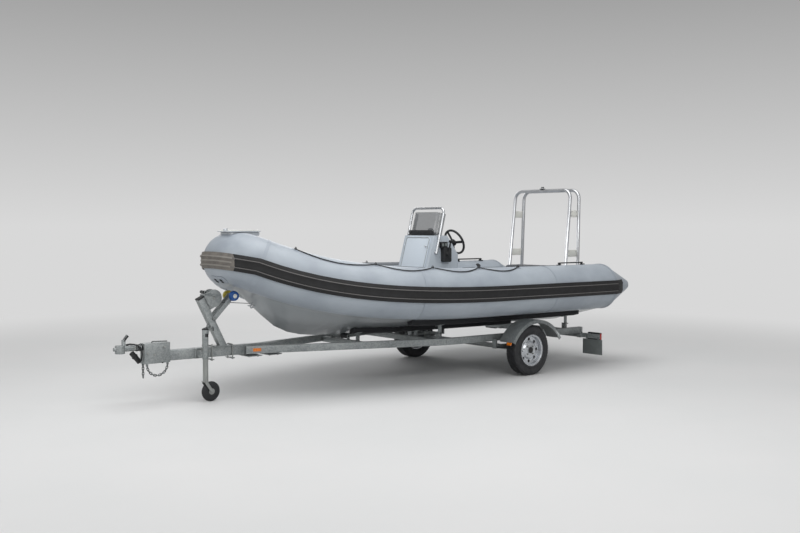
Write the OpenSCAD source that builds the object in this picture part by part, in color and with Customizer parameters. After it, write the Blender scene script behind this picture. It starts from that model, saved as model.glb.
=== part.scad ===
// Inflatable boat with a rigid hull, parked on its single-axle road trailer.
// Row frame: +X to the bow, +Y to port, +Z up, origin on the ground under the middle.
// Pieces are drawn from the axle forward, then on_axle() moves them into the row frame.

/* [Tubes and hull] */
// Radius of the inflated tubes
tube_r = 278; // [240:1:310]
// Distance from the middle to the centre line of a side tube
tube_y = 935; // [860:1:1000]
// Height of the tube centre line at the stern
tube_z = 968; // [940:1:1010]
// Centre line of the bow tube, ahead of the axle
bow_x = 3268; // [3100:1:3600]
// Rise of the bow over the stern
bow_rise = 415; // [250:1:500]
// Radius of the long bend in each side tube
side_bend_r = 4704; // [4000:1:6000]
// Radius of the tight bend at each bow corner
bow_corner_r = 240; // [200:1:260]
// Half length of the straight tube across the bow
bow_half = 40; // [40:1:200]
// End of the full-size tube, behind the axle
tube_end = 1390; // [1200:1:1600]
// Length of the cone on each stern end
cone_len = 550; // [350:1:700]
// Radius of the round tip of each cone
cone_tip_r = 75; // [30:1:90]
// Height of the rubbing strake
strake_h = 160; // [100:1:200]
// Thickness of the rubbing strake
strake_t = 16; // [8:1:25]
// Height of the keel line at the transom
keel_z = 476; // [460:1:490]
// Height that the stem climbs from keel to bow
stem_rise = 710; // [500:1:740]
// Start of the stem's climb, ahead of the axle
stem_x = 1850; // [1400:1:2200]
// Front of the transom, behind the axle
transom_back = 1590; // [1585:1:1620]
// Thickness of the transom
transom_t = 50; // [40:1:65]
// Height of the transom's top edge
transom_top = 1130; // [1080:1:1160]
// Half width of the transom's motor cut-out
transom_cut = 330; // [250:1:380]
// Thickness of the cockpit floor
deck_t = 30; // [20:1:40]

/* [Console] */
// Half width of the console
console_half = 262; // [230:1:300]
// Foot of the console's front face, ahead of the axle
console_front = 990; // [900:1:1050]
// Front of the console's top, ahead of the axle
console_brow = 779; // [740:1:820]
// Length of the console's flat top
console_top_len = 197; // [150:1:230]
// Height of the console's top
console_top = 1608; // [1560:1:1660]
// Back of the console at its foot, ahead of the axle
console_back = 400; // [360:1:440]
// Wall thickness of the console
console_wall = 8; // [5:1:12]
// Height of the smoked windscreen
screen_h = 285; // [200:1:340]
// Outside diameter of the steering wheel's rim
helm_d = 330; // [280:1:360]
// Diameter of the rim's tube
helm_rim_d = 28; // [20:1:32]
// Lean of the steering column from level
helm_lean = 24; // [10:1:35]
// Centre of the steering wheel, ahead of the axle
helm_x = 215; // [190:1:240]
// Centre height of the steering wheel
helm_z = 1527; // [1500:1:1550]
// Diameter of the rails on the console
rail_d = 30; // [22:1:34]
// Height of the top of the console's hoop rail
rail_top = 1945; // [1900:1:2000]

/* [Arch] */
// Outside diameter of the arch tubes
arch_d = 44; // [34:1:50]
// Half width of the arch at its feet
arch_half = 488; // [440:1:520]
// Half width of the arch at its top
arch_top_half = 478; // [420:1:500]
// Height of the arch
arch_top = 2203; // [2000:1:2400]
// Bend radius of the arch's corners
arch_bend = 110; // [80:1:140]
// Feet of the front hoop, behind the axle
arch_front_foot = 1267; // [1240:1:1300]
// Spacing of the two hoops' feet
arch_foot_gap = 245; // [180:1:260]
// Spacing of the two hoops' tops
arch_top_gap = 165; // [100:1:200]

/* [Trailer] */
// Radius of the tyres
tyre_r = 289; // [270:1:310]
// Width of the tyres
tyre_w = 155; // [140:1:175]
// Distance between the two tyres' middles
track = 2014; // [1980:1:2060]
// Radius of the rim's flange
rim_r = 182; // [170:1:200]
// Tip of the coupler, ahead of the axle
coupler_x = 4570; // [4400:1:4800]
// Height of the drawbar
drawbar_h = 100; // [90:1:110]
// Width of the drawbar
drawbar_w = 80; // [70:1:90]
// Height of the side rails
frame_h = 75; // [60:1:85]
// Width of the side rails
frame_w = 50; // [40:1:60]
// Distance from the middle to a side rail
frame_y = 700; // [660:1:740]
// Top of the side rails over the axle
frame_top = 458; // [450:1:466]
// Joint of side rails and drawbar, ahead of the axle
frame_nose = 3190; // [3000:1:3300]
// Bend of the side rails, ahead of the axle
frame_bend = 1010; // [900:1:1150]
// Back end of the side rails, behind the axle
frame_end = 1290; // [1200:1:1400]
// Thickness of the bunks
bunk_t = 50; // [35:1:60]
// Width of the bunks
bunk_w = 90; // [70:1:110]
// Radius of the jockey wheel
jockey_r = 98; // [80:1:110]
// Distance from the middle to the jack leg
jack_y = 150; // [140:1:180]
// Jack leg, ahead of the axle
jack_x = 3697; // [3600:1:3800]
// Outside diameter of the jack's outer tube
jack_d = 60; // [55:1:65]
// Top of the jack's outer tube
jack_top = 715; // [680:1:760]

/* [Hidden] */
$fn = 64;
slip = 0.3;          // clearance between pieces that only touch
running = 0.5;       // radial clearance of a turning or sliding fit
hinge_fit = 0.1;     // radial clearance of a hinge pin
cone_lean = atan2(tube_r - cone_tip_r, cone_len - cone_tip_r);
// Where each cone's straight side meets its round tip: [radius, distance from the full tube].
cone_joint = [cone_tip_r * cos(cone_lean), cone_len - cone_tip_r * (1 - sin(cone_lean))];
cone_grade = (tube_r - slip - cone_joint[0]) / cone_joint[1];

// The row frame's origin lies midway between the coupler's tip and the cones' tips.
stern_x = -(tube_end + cone_len);
axle_x = -(coupler_x + stern_x) / 2;
axle_z = tyre_r;

module on_axle() { translate([axle_x, 0, 0]) children(); }
module both_sides() { children(); mirror([0, 1, 0]) children(); }
// Turns a piece drawn along +Z so that it points along +X or +Y.
module along_x() { rotate([0, 90, 0]) children(); }
module along_y() { rotate([-90, 0, 0]) children(); }
// A bar of rectangular section between two points of one upright plane y = constant.
module strut(x0, z0, x1, z1, depth, width, y = 0) {
    run = norm([x1 - x0, z1 - z0]);
    translate([x0, y, z0]) rotate([0, atan2(x1 - x0, z1 - z0), 0])
        translate([-depth / 2, -width / 2, 0]) cube([depth, width, run]);
}
module rounded_plate(l, w, t, r) {
    linear_extrude(t) hull() for (x = [-1, 1], y = [-1, 1])
        translate([x * (l / 2 - r), y * (w / 2 - r)]) circle(r, $fn = 32);
}
function arc(r, a0, a1, steps, cx = 0, cy = 0) =
    [for (i = [0:steps]) let (a = a0 + (a1 - a0) * i / steps) [cx + r * cos(a), cy + r * sin(a)]];

// ---- Route of the tube collar: straight side, long bend, tight corner, straight bow.
bend_turn = acos((bow_half - tube_y + side_bend_r) / (side_bend_r - bow_corner_r));
bend_x = bow_x - side_bend_r * sin(bend_turn) - bow_corner_r * (1 - sin(bend_turn));
corner_c = [bow_x - bow_corner_r, bow_half];
side_steps = 6;
bend_steps = 14;
corner_steps = 7;
// Each station is [x, y, heading of the outward normal from +Y towards +X].
half_route = concat(
    [for (i = [0:side_steps - 1]) [-tube_end + (bend_x + tube_end) * i / side_steps, tube_y, 0]],
    [for (i = [0:bend_steps - 1]) let (a = bend_turn * i / bend_steps)
        [bend_x + side_bend_r * sin(a), tube_y - side_bend_r * (1 - cos(a)), a]],
    [for (i = [0:corner_steps]) let (a = bend_turn + (90 - bend_turn) * i / corner_steps)
        [corner_c[0] + bow_corner_r * sin(a), corner_c[1] + bow_corner_r * cos(a), a]],
    [[bow_x, bow_half / 2, 90]]);
last_half = len(half_route) - 1;
route = concat(half_route, [for (i = [0:last_half]) let (s = half_route[last_half - i])
    [s[0], -s[1], 180 - s[2]]]);

function side_station(x) = x <= bend_x ? [x, tube_y, 0] : let (a = asin((x - bend_x) / side_bend_r))
    [x, tube_y - side_bend_r * (1 - cos(a)), a];
// The sheer is level at the stern, climbs gently along the sides and steeply to the bow.
sheer_x = -240;
sheer_power = 5;
mid_rise = 60;
function sheer(x) = tube_z + mid_rise * pow(max(0, (x + tube_end) / (bow_x + tube_end)), 2)
    + (bow_rise - mid_rise) * pow(max(0, (x - sheer_x) / (bow_x - sheer_x)), sheer_power);
function sheer_grade(x) = (sheer(x + 5) - sheer(x - 5)) / 10;

// A point at radius r and angle a on the tube's section: 0 is outboard and 90 is up.
function ring_point(s, r, a) = let (
        h = s[2], g = sheer_grade(s[0]) * cos(h),
        out = [sin(h), cos(h), 0],
        up = [-g * cos(h), g * sin(h), 1] / sqrt(1 + g * g))
    [s[0], s[1], sheer(s[0])] + r * (cos(a) * out + sin(a) * up);

// Closed skin through equal loops of points. Each end is a flat cap, or with zip it
// is laced across from the loop's first point, the only one on the middle plane.
module loft(loops, zip = false) {
    n = len(loops[0]);
    m = len(loops);
    last = (m - 1) * n;
    pairs = (n - 1) / 2;
    laced = concat([[0, 1, n - 1]],
        [for (i = [1:pairs - 1]) each [[i, i + 1, n - i - 1], [i, n - i - 1, n - i]]]);
    first_cap = zip ? [for (f = laced) [f[2], f[1], f[0]]] : [[for (j = [n - 1:-1:0]) j]];
    last_cap = zip ? [for (f = laced) [for (v = f) last + v]] : [[for (j = [0:n - 1]) last + j]];
    polyhedron(points = [for (l = loops) for (p = l) p], faces = concat(first_cap,
        [for (i = [0:m - 2]) for (j = [0:n - 1]) let (a = i * n + j, b = i * n + (j + 1) % n) each
            [[a, b, b + n], [a, b + n, a + n]]], last_cap));
}

tube_sides = 36;
tube_step = 360 / tube_sides;
module tube_collar() {
    color("lightsteelblue") on_axle()
        loft([for (s = route) [for (j = [0:tube_sides - 1]) ring_point(s, tube_r, -j * tube_step)]]);
}

module stern_cones() {
    color("lightsteelblue") on_axle() both_sides()
        translate([-tube_end - slip, tube_y, sheer(-tube_end)]) rotate([0, -90, 0]) rotate_extrude()
            polygon(concat([[0, 0], [tube_r - slip, 0]], arc(cone_tip_r, cone_lean, 90, 8, 0, cone_len - cone_tip_r)));
}

// ---- Rubbing strake: a flat band with two raised ribs on the tube's outer side.
strake_steps = 4;
rib_t = 8;
strake_tail = [70, 140, 210];   // stations on each cone, behind the full-size tube
strake_end = [for (d = strake_tail) [-tube_end - d, tube_y, 0, tube_r - cone_grade * d]];
strake_route = concat([for (i = [len(strake_end) - 1:-1:0]) strake_end[i]], [for (s = route) [s[0], s[1], s[2], tube_r]],
    [for (s = strake_end) [s[0], -s[1], 180, s[3]]]);
module rub_strake() {
    steps = [-strake_steps:strake_steps];
    color("dimgray") on_axle() loft([for (s = strake_route) let (r = s[3], a = asin(strake_h / 2 / r) / strake_steps)
        concat([for (j = steps) ring_point(s, r + strake_t + (abs(j) == 2 ? rib_t : 0), -j * a)],
            [for (j = steps) ring_point(s, r + slip, j * a)])]);
}

// ---- Hull: a solid V that fills the space between the tubes up to the cockpit floor.
hull_outer_a = -100;
hull_inner_a = -150;
hull_arc_steps = 5;
keel_grade = 0.016;
stem_end_x = bow_x + tube_r * cos(hull_outer_a + 5);
stem_power = 4.35;
function keel(x) = keel_z + keel_grade * (x + transom_back)
    + (stem_rise - 60) * pow(max(0, (x - stem_x) / (stem_end_x - stem_x)), stem_power);
// The hull starts at the transom and stops just short of the bow's middle plane.
hull_stations = concat([[-transom_back, tube_y, 0]], [for (s = half_route) if (s[0] > -transom_back && s[2] < 89) s],
    [[bow_x, 4, 90]]);
chine_share = 0.86;   // chine's place between the keel and the tube
chine_climb = 0.91;   // chine's share of the climb from keel to tube
bow_inner_a = -115;   // the hull's rim comes down round the bow corner
bow_drop = 34;        // and clears the tube's underside there
function inner_a(h) = hull_inner_a + (bow_inner_a - hull_inner_a) * min(1, max(0, (h - bend_turn + 1.7) / 4));
function hull_loop(s) = let (
        drop = bow_drop * min(1, max(0, (s[2] - bend_turn) / 8)),
        port = [for (i = [0:hull_arc_steps]) ring_point(s, tube_r + slip + drop * i / hull_arc_steps,
            hull_outer_a + (inner_a(s[2]) - hull_outer_a) * i / hull_arc_steps)],
        foot = port[0],
        kx = s[0] + tube_r * cos(hull_outer_a) * sin(s[2]),
        keel_p = [kx, 0, min(keel(kx), foot[2] - 6)],
        chine = [foot[0] + (kx - foot[0]) * (1 - chine_share), foot[1] * chine_share,
            keel_p[2] + (foot[2] - keel_p[2]) * chine_climb])
    concat([keel_p, [chine[0], -chine[1], chine[2]]],
        [for (p = port) [p[0], -p[1], p[2]]],
        [for (i = [hull_arc_steps:-1:0]) port[i]], [chine]);
module rigid_hull() {
    color("silver") on_axle() loft([for (s = hull_stations) hull_loop(s)], zip = true);
}
// Underside of the hull over the bunks, between the keel and the chine.
function foot_z(x) = sheer(x) + tube_r * sin(hull_outer_a);
function chine_at(x) = (side_station(x)[1] + tube_r * cos(hull_outer_a)) * chine_share;
chine_y = chine_at(-transom_back);
function under(x, y) = keel(x) + (foot_z(x) - keel(x)) * chine_climb * y / chine_at(x);

// ---- Cockpit floor, laid on the hull between the tubes.
deck_edge_a = -180 + asin(-sin(hull_inner_a) - deck_t / (tube_r + slip));
function floor_at(x) = sheer(x) + tube_r * sin(hull_inner_a) + deck_t + slip;
floor_z = floor_at(-tube_end);
function deck_loop(s) = let (
        low = ring_point(s, tube_r + 2 * slip, hull_inner_a),
        high = ring_point(s, tube_r + 2 * slip, deck_edge_a))
    [[low[0], -low[1], low[2] + slip], [high[0], -high[1], high[2]], high, low + [0, 0, slip]];
deck_stations = [for (s = hull_stations) if (s[2] < bend_turn - 0.1) s];
module deck() {
    color("gainsboro") on_axle() loft([for (s = deck_stations) deck_loop(s)]);
}

// ---- Transom board with a cut-out and the bolt holes of an outboard bracket.
motor_edge = keel_z + 530;      // top of the cut-out, for a long-shaft motor
bolt_r = 6.5;
bolt_top_drop = 50.8;
bolt_rows = 203.2;
bolt_upper = 327;
bolt_lower = 250.8;
module transom() {
    foot_y = tube_y + tube_r * cos(hull_outer_a);
    color("gainsboro") on_axle() difference() {
        translate([-transom_back - slip, 0, 0]) rotate([90, 0, -90]) linear_extrude(transom_t)
            polygon([[0, keel_z], [chine_y, under(-transom_back, chine_y)],
                [foot_y - 60, under(-transom_back, chine_y) + 18], [foot_y - 60, transom_top], [transom_cut + 40, transom_top],
                [transom_cut - 40, motor_edge], [-transom_cut + 40, motor_edge], [-transom_cut - 40, transom_top],
                [-foot_y + 60, transom_top], [-foot_y + 60, under(-transom_back, chine_y) + 18],
                [-chine_y, under(-transom_back, chine_y)]]);
        both_sides() translate([-transom_back - 2 * transom_t, tube_y, tube_z]) along_x()
            cylinder(4 * transom_t, r = tube_r + slip);
        for (row = [[bolt_upper, bolt_top_drop], [bolt_lower, bolt_top_drop + bolt_rows]], side = [-1, 1])
            translate([-transom_back - 2 * transom_t, side * row[0] / 2, motor_edge - row[1]]) along_x()
                cylinder(4 * transom_t, r = bolt_r);
    }
}

// ---- Stern moulding: a bench across the cockpit and two ledges beside the motor well.
bench_front = 1080;
bench_back = 1420;
bench_half = 590;
bench_top = transom_top;
ledge_in = 390;
module stern_bench() {
    color("gainsboro") on_axle() translate([0, 0, floor_z + slip]) {
        translate([-bench_back, -bench_half, 0]) cube([bench_back - bench_front, 2 * bench_half, bench_top - floor_z]);
        both_sides() translate([-transom_back + slip, ledge_in, 0])
            cube([transom_back - bench_back, bench_half - ledge_in, bench_top - floor_z]);
    }
}
cushion_t = 78;
cushion_half = 430;
module bench_cushion() {
    color("darkslategray") on_axle() translate([-(bench_front + bench_back) / 2, 0, bench_top + 2 * slip])
        rounded_plate(bench_back - bench_front - 20, 2 * cushion_half, cushion_t, 45);
}

// ---- Console: a hollow shell of one side outline, with a hatch in its front face.
front_z = floor_at(console_front);
console_side = [[console_front, front_z + slip], [console_brow, console_top],
    [console_brow - console_top_len, console_top], [console_brow - console_top_len - 41, console_top - 46],
    [console_back + 6, console_top - 222], [console_back, floor_at(console_back) + slip]];
// Moves every edge of a counter-clockwise outline inwards by d and joins them again.
function inset(p, d) = [for (i = [0:len(p) - 1]) let (
        a = p[(i + len(p) - 1) % len(p)], b = p[i], c = p[(i + 1) % len(p)],
        u = (b - a) / norm(b - a), v = (c - b) / norm(c - b))
    b + d * [-u[1] - v[1], u[0] + v[0]] / (1 + u * v)];
module side_slab(outline, half) {
    translate([0, half, 0]) rotate([90, 0, 0]) linear_extrude(2 * half) polygon(outline);
}
face_lean = atan2(console_front - console_brow, console_top - front_z);
hatch_w = 390;
hatch_h = 480;
hatch_z = 245;        // foot of the hatch opening, up the front face
hatch_lip = 18;
hatch_t = 14;
hinge_r = 7;
// Draws on the console's raked front face: x out of the face, z up along it.
module on_front_face() {
    translate([console_front, 0, front_z]) rotate([0, -face_lean, 0]) children();
}
module front_panel(w, h, t, r) {
    translate([0, 0, hatch_z + hatch_h / 2]) along_x() linear_extrude(t) round_rect(h, w, r);
}
module round_rect(w, h, r) {
    square([w - 2 * r, h], center = true);
    square([w, h - 2 * r], center = true);
    for (x = [-1, 1], y = [-1, 1]) translate([x * (w / 2 - r), y * (h / 2 - r)]) circle(r);
}
hinge_x = hinge_r + 3;
hinge_y = -(hatch_w / 2 + hatch_lip + hinge_r + 2);
hinge_pin_r = 3;
knuckle = 16;
knuckle_pitch = knuckle + 0.5;
// Draws at the foot of each of the hatch's two hinges, on its axis.
module on_hinges() {
    on_front_face() for (z = [hatch_z + 60, hatch_z + hatch_h - 110]) translate([hinge_x, hinge_y, z]) children();
}
module console() {
    color("lightgray") on_axle() {
        difference() {
            side_slab(console_side, console_half);
            side_slab(inset(console_side, console_wall), console_half - console_wall);
            on_front_face() translate([-3 * console_wall, 0, 0]) front_panel(hatch_w, hatch_h, 6 * console_wall, 40);
        }
        on_hinges() {
            for (z = [0, 2 * knuckle_pitch]) translate([0, 0, z]) {
                cylinder(knuckle, r = hinge_r);
                translate([-hinge_x - 2, -hinge_r, 0]) cube([hinge_x + 2, hinge_r, knuckle]);
            }
            cylinder(3 * knuckle, r = hinge_pin_r);
        }
    }
}
module console_hatch() {
    color("lightgray") on_axle() {
        on_front_face() translate([slip, 0, 0])
            front_panel(hatch_w + 2 * hatch_lip, hatch_h + 2 * hatch_lip, hatch_t, 50);
        on_hinges() translate([0, 0, knuckle_pitch]) difference() {
            union() {
                cylinder(knuckle, r = hinge_r);
                translate([-hinge_x + 2, 0, 0]) cube([4, hatch_lip, knuckle]);
            }
            translate([0, 0, -1]) cylinder(knuckle + 2, r = hinge_pin_r + hinge_fit);
        }
    }
}

function unit(v) = v / norm(v);
// Rings of n points round each point of a route. The route never runs along ref.
function cord_ring(p, i, r, n, ref) = let (
        dir = unit(p[min(i + 1, len(p) - 1)] - p[max(i - 1, 0)]),
        side = unit(cross(dir, ref)), up = cross(side, dir))
    [for (k = [0:n - 1]) p[i] + r * (cos(360 * k / n) * side + sin(360 * k / n) * up)];
module cord(p, r, n = 8, ref = [0, 0, 1]) { loft([for (i = [0:len(p) - 1]) cord_ring(p, i, r, n, ref)]); }
// Route through the corners of a flat outline, each corner rounded by the same bend.
bend_points = 7;
function rounded_route(p, bend) = [for (i = [0:len(p) - 1])
    if (i == 0 || i == len(p) - 1) [p[i][0], p[i][1], 0]
    else let (u = unit(p[i] - p[i - 1]), v = unit(p[i + 1] - p[i]),
            t = atan2(u[0] * v[1] - u[1] * v[0], u * v), side = sign(t),
            c = p[i] - bend * tan(abs(t) / 2) * u + side * bend * [-u[1], u[0]],
            a0 = atan2(-side * u[0], side * u[1]))
        each [for (k = [0:bend_points]) let (a = a0 + t * k / bend_points)
            [c[0] + bend * cos(a), c[1] + bend * sin(a), 0]]];
module bent_tube(p, bend, d) { cord(rounded_route(p, bend), d / 2, 20); }
// Stands a flat outline (across, up) upright, leaning aft by the angle lean.
module upright(x, z, lean) {
    translate([x, 0, z]) rotate([0, -lean, 0]) rotate([90, 0, 90]) children();
}

// ---- Windscreen: a smoked sheet wrapped round the console's top.
screen_half = console_half - 18;
screen_lean = 15;
screen_t = 5;
screen_r = 90;
screen_back = 100;
screen_x = console_brow - 25;
module windscreen() {
    color([0.25, 0.27, 0.3, 0.5]) on_axle() translate([screen_x, 0, console_top + slip]) rotate([0, -screen_lean, 0])
        difference() {
            translate([0, 0, -60]) linear_extrude(screen_h + 60) difference() {
                translate([-screen_back, 0]) round_rect(2 * screen_back, 2 * screen_half, screen_r);
                translate([-screen_back, 0]) round_rect(2 * (screen_back - screen_t), 2 * (screen_half - screen_t),
                    screen_r - screen_t);
                translate([-3 * screen_back, -2 * screen_half]) square([2 * screen_back, 4 * screen_half]);
            }
            rotate([0, screen_lean, 0]) translate([-600, -400, -200]) cube([900, 800, 200]);
        }
}

// ---- Hoop rail round the windscreen, bolted to the console's sides.
rail_lean = 13.5;
rail_foot_z = 1400;
rail_foot_x = 765;
rail_half = console_half + rail_d / 2 + 1;
module console_rail() {
    height = (rail_top - rail_foot_z) / cos(rail_lean) - rail_d / 2;
    color("silver") on_axle() {
        upright(rail_foot_x, rail_foot_z, rail_lean)
            bent_tube([[rail_half, 0], [rail_half, height], [-rail_half, height], [-rail_half, 0]], 70, rail_d);
        upright(rail_foot_x, rail_foot_z, rail_lean) for (side = [-1, 1], y = [0, 190])
            translate([side * (rail_half - (rail_half - console_half - slip) / 2), y + 12, 0]) rotate([0, 90, 0])
                cylinder(rail_half - console_half - slip, d = rail_d - 4, center = true);
    }
}

// ---- Dash: instrument cowl, compass and the steering column's boss.
helm_boss_d = 70;
helm_shaft_r = 9.5;
helm_shaft_len = 60;
helm_boss_len = 95;
helm_root = 130;      // the boss's foot, cut off at the console's back
// Draws along the steering column: z points out of the dash to the helmsman.
module on_helm() { translate([helm_x, 0, helm_z]) rotate([0, -90 + helm_lean, 0]) children(); }
module dash() {
    color("black") on_axle() {
        translate([console_brow - 120, 0, console_top + slip]) linear_extrude(34) round_rect(110, 2 * (screen_half - 40), 30);
        translate([console_brow - 120, 60, console_top + 34]) cylinder(32, r = 38);
        difference() {
            on_helm() translate([0, 0, -helm_boss_len - helm_shaft_len]) difference() {
                translate([0, 0, -helm_root]) cylinder(helm_boss_len + helm_root, d = helm_boss_d);
                cylinder(helm_boss_len + 1, r = helm_shaft_r + running);
            }
            side_slab(inset(console_side, -slip), console_half);
        }
    }
}
helm_dish = 42;
module steering_wheel() {
    rim_r = (helm_d - helm_rim_d) / 2;
    color("black") on_axle() on_helm() {
        rotate_extrude() translate([rim_r, 0]) circle(d = helm_rim_d, $fn = 32);
        for (a = [90, 210, 330]) rotate([0, 0, a]) translate([0, 0, -helm_dish / 2])
            rotate([0, 90 - atan2(helm_dish * 0.7, rim_r), 0]) translate([-4, -15, 0]) cube([8, 30, rim_r - 4]);
        translate([0, 0, -helm_dish]) cylinder(30, r = 42);
        translate([0, 0, -helm_dish - helm_shaft_len - 40]) cylinder(helm_shaft_len + 41, r = helm_shaft_r);
    }
}

// ---- Engine control: a box on the console's port side with one lever.
module throttle() {
    color("black") on_axle() translate([620, console_half + slip, 1385]) {
        rotate([-90, 0, 0]) linear_extrude(55) round_rect(120, 170, 20);
        translate([0, 55, 10]) along_y() cylinder(22, r = 26);
        translate([0, 66, 10]) rotate([0, -14, 0]) {
            translate([-9, -5, 0]) cube([18, 10, 150]);
            translate([0, -18, 150]) along_y() cylinder(64, r = 16);
        }
    }
}

// ---- Arch: two hoops that lean together, tied by plates.
arch_foot_z = bench_top + 2 * slip;
arch_mid_foot = arch_front_foot + arch_foot_gap / 2;
arch_mid_top = 1462;
arch_rise = arch_top - arch_foot_z - arch_d / 2;
arch_front_top_x = -arch_mid_top + arch_top_gap / 2;
arch_rear_top_x = -arch_mid_top - arch_top_gap / 2;
arch_rear_foot_x = -arch_front_foot - arch_foot_gap;
flange_t = 8;
module arch_hoop(foot_x, top_x) {
    lean = atan2(foot_x - top_x, arch_rise);
    height = (arch_rise - flange_t / 2) / cos(lean);
    upright(foot_x, arch_foot_z + flange_t / 2, lean)
        bent_tube([[arch_half, 0], [arch_top_half, height], [-arch_top_half, height], [-arch_half, 0]], arch_bend, arch_d);
    both_sides() translate([foot_x, arch_half, arch_foot_z - slip]) cylinder(flange_t, r = arch_d);
}
module arch_front_hoop() { color("silver") on_axle() arch_hoop(-arch_front_foot, arch_front_top_x); }
module arch_rear_hoop() { color("silver") on_axle() arch_hoop(arch_rear_foot_x, arch_rear_top_x); }
// Where the hoops are at height z: [front x, rear x, half width].
function arch_at(z) = let (t = (z - arch_foot_z) / arch_rise)
    [-arch_front_foot + (arch_front_top_x + arch_front_foot) * t,
     arch_rear_foot_x + (arch_rear_top_x - arch_rear_foot_x) * t, arch_half + (arch_top_half - arch_half) * t];
plate_h = 88;
plate_t = 6;
arch_plate_z = [1367, 1875];
module arch_plates() {
    edge = arch_d / 2 + 2 * slip;
    color("linen") on_axle() both_sides() for (z = arch_plate_z)
        let (low = arch_at(z - plate_h / 2), high = arch_at(z + plate_h / 2), mid = (low[2] + high[2]) / 2)
            translate([0, mid + plate_t / 2, z - plate_h / 2]) rotate([90, 0, 0]) linear_extrude(plate_t)
                polygon([[low[1] + edge, 0], [low[0] - edge, 0], [high[0] - edge, plate_h], [high[1] + edge, plate_h]]);
}
module arch_light() {
    color("black") on_axle() translate([arch_front_top_x, 0, arch_top + slip]) {
        translate([-28, -30, 0]) cube([56, 60, 6]);
        cylinder(30, r = 20);
    }
}

// ---- Bow plate on top of the bow tube, with its fairlead.
bow_plate_z = tube_z + bow_rise + tube_r + slip;
module bow_plate() {
    color("gainsboro") on_axle() {
        translate([bow_x - 48, 0, bow_plate_z]) rounded_plate(390, 260, 10, 40);
        translate([bow_x + 112, 0, bow_plate_z + 9]) cylinder(26, r = 22);
    }
}
eye_x = 3070;
module bow_eye() {
    color("silver") on_axle() translate([eye_x + 10, 0, keel(eye_x)]) rotate([0, 40, 0]) {
        translate([0, 0, -14]) rotate([90, 0, 0]) rotate_extrude() translate([22, 0]) circle(r = 6, $fn = 24);
    }
}

// ---- Lifelines: a rope held at anchors along each tube, sagging outward between them.
line_r = 6;
line_anchor_x = [158, 794, 1420, 2089, 2900];
line_a = 78;          // anchors' place on the tube's section
line_sag = 20;        // how far down the tube the rope sags, in degrees
line_steps = 12;
line_points = [for (i = [0:len(line_anchor_x) - 2]) for (j = [0:line_steps - (i == len(line_anchor_x) - 2 ? 0 : 1)])
    let (t = j / line_steps, x = line_anchor_x[i] + (line_anchor_x[i + 1] - line_anchor_x[i]) * t)
    ring_point(side_station(x), tube_r + line_r + 2 * slip, line_a - line_sag * 4 * t * (1 - t))];
line_sides = 6;
module lifelines() {
    color("black") on_axle() both_sides() cord(line_points, line_r, line_sides);
}
handle_x = [-900];
module tube_handles() {
    color("black") on_axle() both_sides() for (x = handle_x) let (s = side_station(x), p = ring_point(s, tube_r + 3 * slip, 100))
        translate(p) rotate([10, -atan(sheer_grade(x)), -s[2]]) {
            for (e = [-1, 1]) translate([e * 220 - 22, -22, 0]) cube([44, 44, 11]);
            translate([-220, -14, 22]) cube([440, 28, 12]);
            for (e = [-1, 1]) translate([e * 206 - 8, -12, 8]) cube([16, 24, 16]);
        }
}

// ==== Trailer ====
frame_grade = 0.0115;
function frame_z(x) = frame_top + frame_grade * x;
// A box bar whose top middle line runs from p to q.
module beam(p, q, w, h) {
    d = q - p;
    translate(p) rotate([0, -atan2(d[2], norm([d[0], d[1]])), atan2(d[1], d[0])])
        translate([0, -w / 2, -h]) cube([norm(d), w, h]);
}
module frame_beam(x0, y0, x1, y1, w, h, lift = 0) {
    beam([x0, y0, frame_z(x0) + lift], [x1, y1, frame_z(x1) + lift], w, h);
}
drawbar_lift = 18;
drawbar_back = frame_nose - 420;
drawbar_front = coupler_x - 400;
nose_y = drawbar_w / 2 + 0.97 * frame_w / 2 + slip;
module drawbar() {
    color("silver") on_axle() frame_beam(drawbar_back, 0, drawbar_front, 0, drawbar_w, drawbar_h, drawbar_lift);
}
frame_turn = atan2(frame_y - nose_y, frame_nose - frame_bend);
module side_rails() {
    color("silver") on_axle() both_sides() {
        frame_beam(-frame_end, frame_y, frame_bend + frame_w * tan(frame_turn / 2) / 2, frame_y, frame_w, frame_h);
        frame_beam(frame_bend, frame_y, frame_nose, nose_y, frame_w, frame_h);
    }
}
// Crossmembers run between the rails, level with their undersides.
cross_h = 60;
cross_drop = frame_h - cross_h;
cross_w = 50;
cross_x = [1880, 1040, -1100];
roller_r = 28;
roller_len = 110;
roller_pin_r = 8;
keel_roller_x = [1880, 1040];
ear_w = 34;           // ears that hold a keel roller's pin
ear_t = 8;
function keel_roller_z(x) = keel(x) - roller_r - 2 * slip;
function rail_y(x) = x > frame_bend ? frame_y + (nose_y - frame_y) * (x - frame_bend) / (frame_nose - frame_bend) : frame_y;
function rail_in(x) = rail_y(x) - frame_w / 2 / (x > frame_bend ? cos(frame_turn) : 1) - slip;
module crossmembers() {
    color("silver") on_axle() for (x = cross_x) let (back = x - cross_w / 2, front = x + cross_w / 2)
        translate([0, 0, frame_z(x) - cross_drop - cross_h]) linear_extrude(cross_h)
            polygon([[back, -rail_in(back)], [front, -rail_in(front)], [front, rail_in(front)], [back, rail_in(back)]]);
    color("silver") on_axle() for (x = keel_roller_x) both_sides() difference() {
        translate([x - ear_w / 2, roller_len / 2 + 1, frame_z(x) - cross_drop - 2])
            cube([ear_w, ear_t, keel_roller_z(x) + ear_w / 2 - frame_z(x) + cross_drop + 2]);
        translate([x, 0, keel_roller_z(x)]) along_y() cylinder(roller_len, r = roller_pin_r + slip);
    }
}
hub_r = 62;
rim_w = 140;
wheel_y = track / 2;
axle_h = 50;
stub_r = 20;
hub_face = wheel_y + 12;
axle_end = wheel_y - rim_w / 2 - 30;
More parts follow.
